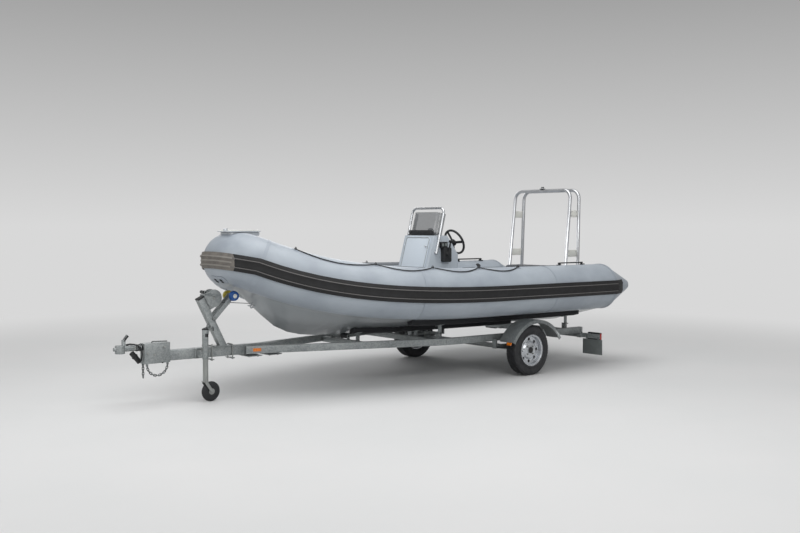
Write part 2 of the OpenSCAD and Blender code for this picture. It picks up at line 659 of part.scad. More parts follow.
module axle() {
    color("silver") on_axle() translate([0, 0, axle_z]) {
        translate([-axle_h / 2, -axle_end, -axle_h / 2]) cube([axle_h, 2 * axle_end, axle_h]);
        both_sides() along_y() {
            translate([0, 0, axle_end - 10]) cylinder(10, r = 70);
            cylinder(hub_face - 2, r = stub_r);
        }
    }
}
spring_y = frame_y + 60;
spring_len = 560;
spring_t = 22;
spring_w = 44;
module leaf_springs() {
    top = frame_z(0) - frame_h;
    color("slategray") on_axle() both_sides() {
        translate([0, spring_y, axle_z + axle_h / 2 + slip]) {
            translate([-spring_len / 2, -spring_w / 2, 0]) cube([spring_len, spring_w, spring_t]);
            translate([-150, -spring_w / 2, spring_t]) cube([300, spring_w, 8]);
            translate([-60, -spring_w / 2 - 10, spring_t + 8]) cube([120, spring_w + 20, 8]);
        }
        for (x = [-spring_len / 2 - 12, spring_len / 2 - 12])
            translate([x, frame_y + frame_w / 2 + slip, axle_z + axle_h / 2 - 10]) cube([24, spring_y - frame_y - frame_w / 2 + spring_w / 2, top - axle_z - axle_h / 2 + 40]);
    }
}

// ---- Wheels.
rim_hole_r = 18;
rim_hole_at = 127;
module tyre(side) {
    color([0.13, 0.13, 0.14]) on_axle() translate([0, side * wheel_y, axle_z]) along_y() rotate_extrude($fn = 96)
        polygon(concat([[rim_r - 12, -rim_w / 2 + 12], [rim_r + 4, -tyre_w / 2 + 6], [tyre_r - 45, -tyre_w / 2]],
            arc(26, -90, -8, 5, tyre_r - 26, -tyre_w / 2 + 30), arc(26, 8, 90, 5, tyre_r - 26, tyre_w / 2 - 30),
            [[tyre_r - 45, tyre_w / 2], [rim_r + 4, tyre_w / 2 - 6], [rim_r - 12, rim_w / 2 - 12]]));
}
module rim(side) {
    color("gainsboro") on_axle() translate([0, side * wheel_y, axle_z]) rotate([-90 * side, 0, 0]) difference() {
        union() {
            rotate_extrude($fn = 96) polygon([[rim_r - 12 - slip, -rim_w / 2 + 10], [rim_r, -rim_w / 2 + 1], [rim_r, -rim_w / 2 - 2],
                [rim_r - 20, -rim_w / 2 + 2], [rim_r - 30, -30], [rim_r - 30, 14], [100, 14], [85, 34], [hub_r - 20, 34],
                [hub_r - 20, 40], [88, 40], [106, 21], [rim_r - 26, 21], [rim_r - 18, rim_w / 2 - 6], [rim_r, rim_w / 2 + 2],
                [rim_r, rim_w / 2 - 1], [rim_r - 12 - slip, rim_w / 2 - 10]]);
            translate([0, 0, -42]) difference() {
                cylinder(90, r = hub_r - 18);
                translate([0, 0, -1]) cylinder(hub_face - wheel_y + 42, r = stub_r + running);
            }
        }
        for (i = [0:7]) rotate([0, 0, i * 45]) translate([rim_hole_at, 0, 0]) cylinder(60, r = rim_hole_r);
    }
}
module tyre_port() { tyre(1); }
module tyre_starboard() { tyre(-1); }
module rim_port() { rim(1); }
module rim_starboard() { rim(-1); }

// ---- Fenders: a rolled band over each wheel with a folded lip, on two stays.
fender_r = 466;
fender_top = 635;
fender_shift = -50;   // the fender stands a little behind its wheel
fender_w = 210;
fender_t = 5;
fender_lip = 34;
fender_a = 30;        // its ends, above level
fender_y = 905;
stay_w = 30;
stay_t = 8;
stay_x = [-150, 130];
stay_drop = 46;       // stays' height under the rails' top
function fender_z(x) = fender_top - fender_r + sqrt(pow(fender_r, 2) - pow(x - fender_shift, 2));
module fender_ring(r0, r1, y0, w) {
    translate([fender_shift, y0 + w, fender_top - fender_r]) rotate([90, 0, 0]) rotate([0, 0, fender_a])
        rotate_extrude(angle = 180 - 2 * fender_a, $fn = 96) translate([r0, 0]) square([r1 - r0, w]);
}
module fenders() {
    rail_side = frame_y + frame_w / 2 + slip;
    color("slategray") on_axle() both_sides() {
        fender_ring(fender_r, fender_r + fender_t, fender_y, fender_w);
        fender_ring(fender_r - fender_lip, fender_r + fender_t, fender_y + fender_w, fender_t);
        for (x = stay_x) translate([x, rail_side, frame_z(x) - stay_drop]) {
            cube([stay_w, fender_y + stay_t - rail_side, stay_t]);
            translate([0, fender_y - rail_side, 0])
                cube([stay_w, stay_t, max(fender_z(x), fender_z(x + stay_w)) - frame_z(x) + stay_drop]);
        }
    }
}

// ---- Bunks that carry the hull, and the posts under them.
bunk_y = 640;
bunk_front = 1480;
bunk_back = 1310;
keel_bunk_y = 230;
keel_bunk_front = 1960;
keel_bunk_back = -500;
bunk_clear = 2;
bunk_steps = 8;
module bunk(x0, x1, y) {
    corners = [[-1, -1], [1, -1], [1, 0], [-1, 0]];
    loft([for (i = [0:bunk_steps]) let (x = x0 + (x1 - x0) * i / bunk_steps)
        [for (c = corners) let (v = y + c[0] * bunk_w / 2) [x, v, under(x, v) - bunk_clear + c[1] * bunk_t]]]);
}
module bunks() {
    color("black") on_axle() both_sides() {
        bunk(-bunk_back, bunk_front, bunk_y);
        bunk(keel_bunk_back, keel_bunk_front, keel_bunk_y);
    }
}
post_w = 50;
post_t = 8;
pad_len = 70;         // tilted pad on each post, under its bunk
pad_t = 6;
outer_post_x = [1040, -1100];
keel_post_x = [1880, 1040];
module bunk_post(x, y, base) {
    top = under(x, y) - bunk_clear - bunk_t - 3 * slip;
    translate([x - post_w / 2, y - post_t / 2, base]) cube([post_w, post_t, top - base - pad_t / 2]);
    translate([x, y, top]) rotate([atan2(under(x, y) - under(x, 0), y), 0, 0])
        translate([-pad_len / 2, 5 - bunk_w / 2, -pad_t]) cube([pad_len, bunk_w - 10, pad_t]);
}
module bunk_posts() {
    color("silver") on_axle() both_sides() {
        for (x = outer_post_x) bunk_post(x, bunk_y, frame_z(x) - cross_drop + slip);
        for (x = keel_post_x) bunk_post(x, keel_bunk_y, frame_z(x) - cross_drop + slip);
    }
}
module keel_rollers() {
    color("black") on_axle() for (x = keel_roller_x) translate([x, 0, keel_roller_z(x)]) along_y() {
        cylinder(roller_len, r = roller_r, center = true);
        cylinder(roller_len + 4 * ear_t, r = roller_pin_r, center = true);
    }
}
// ---- Winch post, winch, strap and bow rollers.
post_x = 3425;
post_lean = 26.7;
post_len = 545;
post_box = 70;
post_foot_z = frame_z(post_x) + drawbar_lift;
function on_post(t, off = 0) = [post_x + t * sin(post_lean) - off * cos(post_lean),
    post_foot_z + t * cos(post_lean) + off * sin(post_lean)];
arm_from = on_post(300, 20);
roller_x = 3322;
roller_z = 1016;
arm_t = 12;
arm_y = post_box / 2 + arm_t / 2 + slip;
// Draws on the drawbar's sloping top at the post's foot.
module on_drawbar() { translate([post_x, 0, post_foot_z]) rotate([0, -atan(frame_grade), 0]) children(); }
module winch_post() {
    top = on_post(post_len);
    brace = on_post(270, -30);
    color("silver") on_axle() {
        difference() {
            strut(post_x - 10 * sin(post_lean), post_foot_z - 10, top[0], top[1], post_box, post_box);
            on_drawbar() translate([-400, -200, -200 + 4]) cube([800, 400, 200]);
        }
        on_drawbar() translate([-110, -post_box / 2 - 25, slip]) cube([230, post_box + 50, 8]);
        strut(brace[0] + 60, post_foot_z + 8, brace[0], brace[1], 30, 30);
        for (side = [-1, 1]) strut(arm_from[0], arm_from[1], roller_x, roller_z, 44, arm_t, side * arm_y);
        for (side = [-1, 1]) translate([roller_x, side * arm_y, roller_z]) along_y() cylinder(arm_t - 2, r = 25, center = true);
    }
}
bow_roller_r = 56;
bow_roller_w = 44;
module bow_rollers() {
    color("royalblue") on_axle() translate([roller_x, 0, roller_z]) {
        for (side = [-1, 1]) rotate([-90 * side, 0, 0]) translate([0, 0, arm_y + arm_t / 2 + slip])
            cylinder(bow_roller_w, r1 = bow_roller_r - 4, r2 = bow_roller_r - 12);
    }
}
winch_c = on_post(post_len - 60, 118);
winch_r = 88;
winch_half = 45;
drum_r = 34;
module winch() {
    color("silver") on_axle() translate([winch_c[0], 0, winch_c[1]]) {
        for (side = [-1, 1]) translate([0, side * winch_half, 0]) along_y() cylinder(4, r = winch_r, center = true);
        along_y() cylinder(2 * winch_half, r = drum_r, center = true);
        rotate([0, post_lean, 0]) translate([20, -winch_half, -winch_r + 6])
            cube([118 - 20 - post_box / 2 - slip, 2 * winch_half, 2 * winch_r - 12]);
        translate([0, winch_half, 30]) along_y() cylinder(30, r = 10);
        translate([0, winch_half + 30, 30]) rotate([0, 75, 0]) translate([-8, -3, 0]) cube([16, 6, 170]);
        translate([160, winch_half + 27, 74]) along_y() cylinder(95, r = 15);
    }
}
strap_w = 44;
strap_t = 5;
module winch_strap() {
    color("black") on_axle() strut(eye_x + 42, keel(eye_x) + 12, winch_c[0], winch_c[1] - drum_r - strap_t / 2 - slip, strap_t, strap_w);
}

// ---- Jockey stand: outer tube, sliding leg, fork and wheel.
jack_wall = 3;
leg_r = jack_d / 2 - jack_wall - running;
leg_top = 505;
fork_x = -55;         // wheel's trail behind the leg
clamp_z = frame_z(jack_x) + drawbar_lift - drawbar_h / 2;
clamp_h = 60;
clamp_half = 45;
clamp_plate = 10;     // bracket on the drawbar's side, with the pin the stand swings on
clamp_face = drawbar_w / 2 + clamp_plate + 2 * slip;
swivel_pin_r = 12;
swivel_pin_len = 55;
jack_foot = 420;
wheel_w = 50;
module at_jack(z = 0) { translate([jack_x, jack_y, z]) children(); }
module jack_outer() {
    color("silver") on_axle() {
        at_jack(jack_foot) difference() {
            cylinder(jack_top - jack_foot, d = jack_d);
            translate([0, 0, -1]) cylinder(jack_top - jack_foot - 10, d = jack_d - 2 * jack_wall);
        }
        difference() {
            at_jack(clamp_z - clamp_h / 2) translate([-clamp_half, clamp_face - jack_y, 0])
                cube([2 * clamp_half, jack_y - clamp_face, clamp_h]);
            at_jack(clamp_z - clamp_h) cylinder(2 * clamp_h, d = jack_d - 2);
            translate([jack_x, clamp_face - 1, clamp_z]) along_y() cylinder(swivel_pin_len + 2, r = swivel_pin_r + hinge_fit);
        }
        at_jack(jack_top) cylinder(14, r = 12);
        at_jack(jack_top + 6) translate([-90, -6, 0]) cube([90, 12, 8]);
    }
}
module jack_bracket() {
    color("silver") on_axle() {
        translate([jack_x - 60, drawbar_w / 2 + slip, clamp_z - 50]) cube([120, clamp_plate, 100]);
        translate([jack_x, clamp_face - slip - 1, clamp_z]) along_y() cylinder(swivel_pin_len, r = swivel_pin_r);
    }
}
leg_foot = 2 * jockey_r + 6;
fork_top = leg_foot - jockey_r - running;
fork_half = wheel_w / 2 + 8;
module jack_leg() {
    color("silver") on_axle() at_jack(leg_foot) cylinder(leg_top - leg_foot, r = leg_r);
}
module jack_fork() {
    color("silver") on_axle() at_jack(jockey_r) {
        translate([-16, -fork_half - 2, fork_top - 8]) cube([42, 2 * fork_half + 4, 8]);
        for (side = [-1, 1]) hull() {
            translate([4, side * fork_half, fork_top - 16]) along_y() cylinder(4, r = 16, center = true, $fn = 32);
            translate([fork_x, side * fork_half, 0]) along_y() cylinder(4, r = 14, center = true, $fn = 32);
        }
        translate([fork_x, 0, 0]) along_y() cylinder(wheel_w + 24, r = 8, center = true);
    }
}
module jack_wheel() {
    color([0.12, 0.12, 0.12]) on_axle() at_jack(jockey_r) translate([fork_x, 0, 0]) along_y() difference() {
        union() {
            rotate_extrude() polygon(concat([[0, -wheel_w / 2 + 2], [jockey_r - 24, -wheel_w / 2 + 2]],
                arc(18, -80, 80, 8, jockey_r - 18, 0), [[jockey_r - 24, wheel_w / 2 - 2], [0, wheel_w / 2 - 2]]));
        }
        cylinder(wheel_w + 2, r = 8 + running, center = true);
    }
}

// ---- Coupler and its safety chains.
ball_r = 25.4;
ball_fit = 0.6;
socket_depth = 40;
head_x = coupler_x - 62;
head_r = 46;
coupler_z = frame_z(drawbar_front) + drawbar_lift;
neck_r = 28;
neck_z = coupler_z + 45;
box_back = drawbar_front - 150;   // the coupler's housing round the drawbar
box_len = 265;
box_half = drawbar_w / 2 + 8;
box_below = drawbar_h + 14;
box_above = 80;
link_r = 9;
link_wire = 4;
link_len = 16;
link_pitch = link_len + 2 * link_r - 2 * link_wire - 0.5;
lug_t = 5;
loop_links = 13;
loop_r = link_pitch / 2 / sin(90 / loop_links);
tail_links = 5;
// Each lug's hole: the loop's front and back ends, then the hanging tail.
chain_y = (box_half + drawbar_w / 2) / 2;
chain_lugs = [for (at = [[0, 1], [-2 * loop_r, 1], [0, -1]]) [box_back + box_len - 26 + at[0], at[1] * chain_y, coupler_z - box_below - 8]];
module coupler() {
    color("silver") on_axle() {
        difference() {
            translate([box_back, -box_half, coupler_z - box_below]) cube([box_len, 2 * box_half, box_below + box_above]);
            translate([box_back - 1, -drawbar_w / 2 - slip, coupler_z - box_below - 1])
                cube([drawbar_front - box_back + 4, drawbar_w + 2 * slip, box_below + 3]);
        }
        for (at = chain_lugs) translate(at) difference() {
            translate([-12, -lug_t / 2, -14]) cube([24, lug_t, 15 + coupler_z - box_below - at[2]]);
            along_y() cylinder(lug_t + 2, r = link_wire + 1.1, center = true);
        }
        translate([box_back + box_len - 2, 0, neck_z]) along_x() cylinder(head_x - head_r + 14 - box_back - box_len, r = neck_r);
        difference() {
            translate([head_x, 0, coupler_z + 2]) cylinder(76, r = head_r);
            translate([head_x, 0, coupler_z - 1]) cylinder(socket_depth + 1, r = ball_r + ball_fit);
        }
        translate([head_x + head_r - 14, 0, neck_z]) along_x() cylinder(coupler_x - head_x - head_r + 14, r = 18);
        strut(head_x - 38, neck_z + 10, head_x - 36, neck_z + 84, 30, 26);
        strut(head_x - 36, neck_z + 74, head_x - 76, neck_z + 124, 22, 22);
    }
}
module link() {
    for (side = [-1, 1]) {
        translate([0, side * link_r, 0]) along_x() cylinder(link_len, r = link_wire, center = true, $fn = 16);
        translate([side * link_len / 2, 0, 0]) rotate([0, 0, side * 90 - 180]) rotate_extrude(angle = 180, $fn = 32)
            translate([link_r, 0]) circle(link_wire, $fn = 16);
    }
}
// Draws in a chain's plane, y pointing up, with an end link's wire in a lug's hole.
chain_drop = link_len / 2 + link_r - link_pitch / 2;
module on_lug(i) { translate(chain_lugs[i] - [0, 0, chain_drop]) rotate([90, 0, 0]) children(); }
module safety_chains() {
    color("gray") on_axle() {
        on_lug(0) translate([-loop_r, 0]) for (i = [0:loop_links - 1]) let (a = -180 / loop_links * (i + 0.5))
            translate(loop_r * cos(90 / loop_links) * [cos(a), sin(a)]) rotate([0, 0, a + 90]) rotate([(i + 1) % 2 * 90, 0, 0]) link();
        on_lug(2) for (i = [0:tail_links - 1]) translate([0, -link_pitch * (i + 0.5)]) rotate([0, 0, 90])
            rotate([(i + 1) % 2 * 90, 0, 0]) link();
    }
}

// ---- Plug of the lamps' lead, parked under the coupler's neck.
plug_r = 25;
plug_from = [box_back + box_len + 110, 4, neck_z - neck_r - 17];
plug_to = [box_back + box_len + plug_r + 6, 4, coupler_z - box_below + 22];
lead_points = [[plug_to[0] + 126, -14, neck_z + neck_r + 5], [plug_to[0] + 100, 8, neck_z + neck_r + 12], [plug_to[0] + 62, 26, neck_z + neck_r + 9],
    [plug_to[0] + 26, 42, neck_z + 22], [plug_to[0] - 2, 46, neck_z - 18], [plug_to[0] - 10, 42, neck_z - 62],
    [plug_to[0] - 8, 30, neck_z - 104], [plug_to[0] - 6, 14, neck_z - 128]];
module light_plug() {
    run = plug_from - plug_to;
    color("black") on_axle() {
        translate(plug_to) rotate([0, atan2(run[0], run[2]), 0]) {
            cylinder(norm(run), r = plug_r);
            translate([0, 0, norm(run) * 0.55]) cylinder(12, r = plug_r + 5);
        }
        cord(lead_points, 8, 8, [0, 1, 0]);
    }
}

// ---- Lights, board and plate.
board_x = frame_end + 40;
board_half = 1000;
board_z = 340;
board_h = 60;
board_t = 4;
lamp_w = 190;
lamp_h = 90;
lamp_t = 42;
plate_w = 305;
plate_low = 112;
plate_top = board_z - board_h / 2 - 10;
module light_bar() {
    color("silver") on_axle() {
        translate([-board_x, -board_half, board_z - board_h / 2]) cube([board_t, 2 * board_half, board_h]);
        both_sides() translate([-board_x + board_t / 2, frame_y - board_h / 2, board_z - board_h / 2])
            cube([board_x - frame_end - board_t / 2 - slip, board_h, frame_z(-frame_end) - board_z + board_h / 2]);
    }
}
module tail_lamps() {
    color("firebrick") on_axle() both_sides() translate([-board_x - lamp_t - slip, board_half - lamp_w, board_z - lamp_h / 2])
        cube([lamp_t, lamp_w, lamp_h]);
}
module number_plate() {
    color("dimgray") on_axle() translate([-board_x + board_t + slip, frame_y + board_h / 2 + 10, 0]) {
        translate([0.6, 0, plate_low]) cube([2, plate_w, plate_top - plate_low]);
        for (y = [50, plate_w - 76]) translate([0, y, plate_top - 20]) cube([3.4, 26, 56]);
    }
}

tube_collar();
stern_cones();
rub_strake();
rigid_hull();
deck();
transom();
stern_bench();
bench_cushion();
console();
console_hatch();
windscreen();
console_rail();
dash();
steering_wheel();
throttle();
arch_front_hoop();
arch_rear_hoop();
arch_plates();
arch_light();
bow_plate();
bow_eye();
lifelines();
tube_handles();
drawbar();
side_rails();
crossmembers();
axle();
leaf_springs();
tyre_port();
tyre_starboard();
rim_port();
rim_starboard();
fenders();
bunks();
bunk_posts();
keel_rollers();
winch_post();
bow_rollers();
winch();
winch_strap();
jack_bracket();
jack_outer();
jack_leg();
jack_fork();
jack_wheel();
coupler();
safety_chains();
light_plug();
light_bar();
tail_lamps();
number_plate();
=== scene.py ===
import bpy
from math import acos, asin, atan2, cos, pi, radians, sin, sqrt, tan
from mathutils import Matrix, Vector


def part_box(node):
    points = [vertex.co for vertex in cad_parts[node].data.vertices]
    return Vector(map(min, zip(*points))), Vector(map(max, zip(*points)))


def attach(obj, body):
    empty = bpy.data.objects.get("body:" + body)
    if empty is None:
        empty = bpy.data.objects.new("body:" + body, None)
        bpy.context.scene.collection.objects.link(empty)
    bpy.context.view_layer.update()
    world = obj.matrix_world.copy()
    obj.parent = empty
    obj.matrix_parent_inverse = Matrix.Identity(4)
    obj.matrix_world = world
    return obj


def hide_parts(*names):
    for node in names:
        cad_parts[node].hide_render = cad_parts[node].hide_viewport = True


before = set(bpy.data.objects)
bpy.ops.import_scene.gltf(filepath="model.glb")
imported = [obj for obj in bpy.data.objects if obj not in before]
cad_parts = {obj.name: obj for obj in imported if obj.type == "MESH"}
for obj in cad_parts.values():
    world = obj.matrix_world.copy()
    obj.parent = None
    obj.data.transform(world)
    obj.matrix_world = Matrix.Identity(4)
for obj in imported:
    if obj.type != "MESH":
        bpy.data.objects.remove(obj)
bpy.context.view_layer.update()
BOAT = "boat_and_trailer"
X, Y, Z = Vector((1, 0, 0)), Vector((0, 1, 0)), Vector((0, 0, 1))

# ---- Places taken from the CAD. Lengths ahead of the axle go through at().


def box(node):
    low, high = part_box(node)
    return Vector(low), Vector(high)


def middle(node):
    low, high = box(node)
    return (low + high) / 2


AXLE = middle("tyre_port")
AXLE_X = AXLE.x


def at(x, y, z):
    return Vector((AXLE_X + x, y, z))


# The tubes' route: straight side, long bend, tight corner and straight bow.
TUBE_R = 0.278
TUBE_Y = 0.935
TUBE_END = 1.390
BOW_X = 3.268
BOW_HALF = 0.040
CORNER_R = 0.240
SIDE_BEND_R = 4.704
BEND_TURN = acos((BOW_HALF - TUBE_Y + SIDE_BEND_R) / (SIDE_BEND_R - CORNER_R))
BEND_X = BOW_X - SIDE_BEND_R * sin(BEND_TURN) - CORNER_R * (1 - sin(BEND_TURN))
SIDE_RUN = BEND_X + TUBE_END
BEND_RUN = SIDE_BEND_R * BEND_TURN
CORNER_RUN = CORNER_R * (pi / 2 - BEND_TURN)
HALF_RUN = SIDE_RUN + BEND_RUN + CORNER_RUN + BOW_HALF


def sheer(x):
    return (0.968 + 0.060 * max(0, (x + TUBE_END) / (BOW_X + TUBE_END)) ** 2
            + 0.355 * max(0, (x + 0.24) / (BOW_X + 0.24)) ** 5)


def station(run):
    """Middle line of the port tube at a distance from its stern end: x, y, heading."""
    if run <= SIDE_RUN:
        return run - TUBE_END, TUBE_Y, 0.0
    run -= SIDE_RUN
    if run <= BEND_RUN:
        turn = run / SIDE_BEND_R
        return BEND_X + SIDE_BEND_R * sin(turn), TUBE_Y - SIDE_BEND_R * (1 - cos(turn)), turn
    run -= BEND_RUN
    if run <= CORNER_RUN:
        turn = BEND_TURN + run / CORNER_R
        return BOW_X - CORNER_R + CORNER_R * sin(turn), BOW_HALF + CORNER_R * cos(turn), turn
    return BOW_X, BOW_HALF - (run - CORNER_RUN), pi / 2


def run_at(x):
    """Distance along the tube from its stern end to a length ahead of the axle."""
    return x + TUBE_END if x <= BEND_X else SIDE_RUN + SIDE_BEND_R * asin((x - BEND_X) / SIDE_BEND_R)


def on_tube(run, angle, lift=0.0, side=1):
    """Point on the tube: angle 0 is outboard, 90 is up, lift is above its skin."""
    x, y, heading = station(run)
    grade = (sheer(x + 0.005) - sheer(x - 0.005)) / 0.010 * cos(heading)
    out = Vector((sin(heading), cos(heading), 0))
    up = Vector((-grade * cos(heading), grade * sin(heading), 1)) / sqrt(1 + grade * grade)
    a = radians(angle)
    p = Vector((x, y, sheer(x))) + (TUBE_R + lift) * (cos(a) * out + sin(a) * up)
    return Vector((AXLE_X + p.x, side * p.y, p.z))


# ---- Shader sockets that take part in sums.


class Wire:
    def __init__(self, finish, socket):
        self.finish, self.socket = finish, socket

    def math(self, operation, *terms):
        return self.finish.node("Math", {"operation": operation}, dict(enumerate(terms)))

    def __add__(self, other): return self.math("ADD", self, other)
    def __radd__(self, other): return self.math("ADD", other, self)
    def __sub__(self, other): return self.math("SUBTRACT", self, other)
    def __rsub__(self, other): return self.math("SUBTRACT", other, self)
    def __mul__(self, other): return self.math("MULTIPLY", self, other)
    def __rmul__(self, other): return self.math("MULTIPLY", other, self)
    def __gt__(self, other): return self.math("GREATER_THAN", self, other)
    def __lt__(self, other): return self.math("LESS_THAN", self, other)


class Finish:
    """A node material round one Principled shader."""

    def __init__(self, name, **constants):
        self.material = bpy.data.materials.new(name)
        self.material.use_nodes = True
        self.tree = self.material.node_tree
        self.shader = self.tree.nodes["Principled BSDF"]
        for key, value in constants.items():
            self.shader.inputs[key.replace("_", " ").title().replace("Ior", "IOR")].default_value = value
        self.place = self.node("TexCoord", wanted="Object")

    def node(self, kind, settings=None, inputs=None, wanted=0):
        made = self.tree.nodes.new("ShaderNode" + kind)
        for key, value in (settings or {}).items():
            if key == "stops":
                ramp = made.color_ramp
                for (spot, tone), stop in zip(value, (ramp.elements[0], ramp.elements[1])):
                    stop.position, stop.color = spot, tone
            else:
                setattr(made, key, value)
        for key, value in (inputs or {}).items():
            self.plug(made.inputs[key], value)
        return Wire(self, made.outputs[wanted])

    def plug(self, socket, value):
        if isinstance(value, Wire):
            self.tree.links.new(value.socket, socket)
        elif socket.type == "RGBA":
            socket.default_value = (*value[:3], 1)
        else:
            socket.default_value = value

    def noise(self, scale, detail=3.0, rough=0.5, place=None):
        return self.node("TexNoise", inputs={"Vector": place or self.place, "Scale": scale, "Detail": detail,
                                             "Roughness": rough})

    def cells(self, scale, feature="F1", wanted="Distance", randomness=1.0):
        return self.node("TexVoronoi", {"feature": feature}, {"Vector": self.place, "Scale": scale,
                                                              "Randomness": randomness}, wanted)

    def stretched(self, factor):
        return self.node("Mapping", inputs={"Vector": self.place, "Scale": factor})

    def axis(self, wanted):
        return self.node("SeparateXYZ", inputs={"Vector": self.place}, wanted=wanted)

    def mix(self, share, a, b):
        return self.node("Mix", {"data_type": "RGBA"}, {0: share, 6: a, 7: b}, wanted=2)

    def ramp(self, value, low, high):
        """0 below low, 1 above high."""
        return self.node("MapRange", inputs={"Value": value, "From Min": low, "From Max": high})

    def wear(self, colour, rough, bump=None, depth=0.001, strength=0.6):
        """Joins a colour, a roughness and a height to the shader."""
        self.plug(self.shader.inputs["Base Color"], colour)
        self.plug(self.shader.inputs["Roughness"], rough)
        if bump is not None:
            self.plug(self.shader.inputs["Normal"],
                      self.node("Bump", inputs={"Height": bump, "Distance": depth, "Strength": strength}))
        return self.material


def tone(red, green, blue):
    """Linear colour from screen values of 0 to 255."""
    return tuple(((v / 255 + 0.055) / 1.055) ** 2.4 if v > 10 else v / 255 / 12.92 for v in (red, green, blue))


def dull(colour, k):
    return tuple(v * k for v in colour)


def plain_finish(name, colour, rough, grain, depth, mottle=0.12, metallic=0.0, blotch=7.0, **constants):
    """A moulded, painted or cast surface: soft mottling, fine grain and uneven gloss."""
    f = Finish(name, metallic=metallic, **constants)
    cloud = f.noise(blotch, 5.0)
    fine = f.noise(grain, 3.0)
    colour = f.mix(f.ramp(cloud, 0.3, 0.7), dull(colour, 1 - mottle), dull(colour, 1 + mottle / 3))
    return f.wear(colour, f.noise(blotch * 3, 4.0) * 0.18 + (rough - 0.09), fine, depth)


def tube_fabric():
    f = Finish("tube_fabric", coat_weight=0.12, coat_roughness=0.35)
    cloud = f.noise(3.0, 6.0)
    pale, deep = tone(160, 168, 176), tone(146, 154, 163)
    colour = f.mix(f.ramp(cloud, 0.35, 0.65), deep, pale)
    scuff = f.ramp(f.noise(28.0, 8.0, 0.7, f.stretched((0.25, 1, 1))), 0.62, 0.75)
    colour = f.mix(scuff * 0.2, colour, tone(126, 133, 141))
    weave = f.cells(900.0) * 0.5 + f.noise(11.0, 3.0) * 0.8
    return f.wear(colour, f.noise(16.0, 5.0) * 0.2 + 0.32, weave, 0.0012, 0.35)


def strake_rubber():
    """Black along the sides, grey-brown across the bow."""
    f = Finish("strake_rubber")
    front = f.axis("X") > AXLE_X + BOW_X + 0.205
    side_tone = f.mix(f.ramp(f.noise(9.0, 5.0), 0.3, 0.7), tone(13, 13, 14), tone(24, 24, 26))
    bow_tone = f.mix(f.ramp(f.noise(14.0, 5.0), 0.3, 0.7), tone(96, 92, 88), tone(122, 117, 110))
    return f.wear(f.mix(front, side_tone, bow_tone), f.noise(22.0, 4.0) * 0.2 + 0.55, f.noise(420.0), 0.0008)


def gelcoat(name, colour, blotch=2.0):
    f = Finish(name, coat_weight=0.5, coat_roughness=0.08)
    cloud = f.noise(blotch, 4.0)
    scuff = f.ramp(f.noise(7.0, 8.0, 0.7), 0.62, 0.85)
    shade = f.mix(scuff * 0.15, f.mix(f.ramp(cloud, 0.3, 0.7), dull(colour, 0.95), colour), dull(colour, 0.8))
    return f.wear(shade, f.noise(9.0, 4.0) * 0.12 + 0.28, f.noise(3.0, 2.0), 0.0006, 0.1)


def nonslip():
    f = Finish("deck_grip")
    dots = f.cells(210.0, randomness=0.15)
    cloud = f.noise(4.0, 6.0)
    colour = f.mix(f.ramp(cloud, 0.35, 0.7), tone(178, 182, 185), tone(188, 191, 194))
    return f.wear(colour, f.noise(60.0) * 0.2 + 0.5, f.ramp(dots, 0.5, 0.2), 0.0015, 0.6)


def galvanised(name="galvanised", bright=1.0):
    f = Finish(name, metallic=0.55)
    spangle = f.cells(85.0, wanted="Color")
    patch = f.node("SeparateColor", inputs={"Color": spangle}, wanted=0)
    cloud = f.noise(6.0, 6.0, 0.6)
    light, dark = dull(tone(172, 176, 176), bright), dull(tone(118, 123, 124), bright)
    colour = f.mix(patch * 0.45 + f.ramp(cloud, 0.3, 0.75) * 0.55, dark, light)
    stain = f.ramp(f.noise(13.0, 8.0, 0.7), 0.66, 0.8)
    colour = f.mix(stain * 0.3, colour, tone(120, 116, 108))
    return f.wear(colour, patch * 0.18 + cloud * 0.15 + 0.3, cloud + f.noise(160.0) * 0.3, 0.0012, 0.35)


def polished(name, colour, rough, brush=(1, 1, 0.02)):
    f = Finish(name, metallic=1.0)
    lines = f.noise(260.0, 3.0, 0.6, f.stretched(brush))
    smear = f.noise(8.0, 5.0)
    colour = f.mix(f.ramp(smear, 0.3, 0.7), dull(colour, 0.86), colour)
    return f.wear(colour, lines * 0.06 + smear * 0.1 + rough, smear, 0.0003, 0.1)


def braid():
    f = Finish("rope_braid")
    strand = f.node("TexWave", {"bands_direction": "DIAGONAL"}, {"Vector": f.place, "Scale": 90.0, "Distortion": 3.0,
                                                                "Detail": 2.0})
    level = f.ramp(strand.math("MULTIPLY", f.noise(500.0), 1.0), 0.2, 0.8)
    return f.wear(f.mix(level, tone(18, 18, 20), tone(46, 46, 50)), level * 0.1 + 0.7, level, 0.0012, 0.8)


def vinyl():
    f = Finish("bench_vinyl", sheen_weight=0.15)
    grain = f.cells(260.0, "DISTANCE_TO_EDGE")
    cloud = f.noise(9.0, 5.0)
    colour = f.mix(f.ramp(cloud, 0.3, 0.7), tone(44, 47, 54), tone(60, 63, 71))
    return f.wear(colour, f.noise(30.0) * 0.15 + 0.4, f.ramp(grain, 0.0, 0.12), 0.0007, 0.6)


def smoked():
    f = Finish("smoked_sheet", coat_weight=0.6, coat_roughness=0.03)
    film = f.noise(6.0, 5.0)
    material = f.wear(f.mix(f.ramp(film, 0.3, 0.7), tone(92, 95, 98), tone(112, 115, 118)), film * 0.06 + 0.05)
    f.plug(f.shader.inputs["Alpha"], film * 0.08 + 0.46)
    return material


def tyre_rubber():
    f = Finish("tyre_rubber")
    dust = f.ramp(f.noise(18.0, 7.0, 0.65), 0.5, 0.75)
    colour = f.mix(dust * 0.5, tone(34, 35, 38), tone(66, 66, 66))
    return f.wear(colour, f.noise(40.0) * 0.15 + 0.55, f.noise(520.0, 4.0), 0.0008)


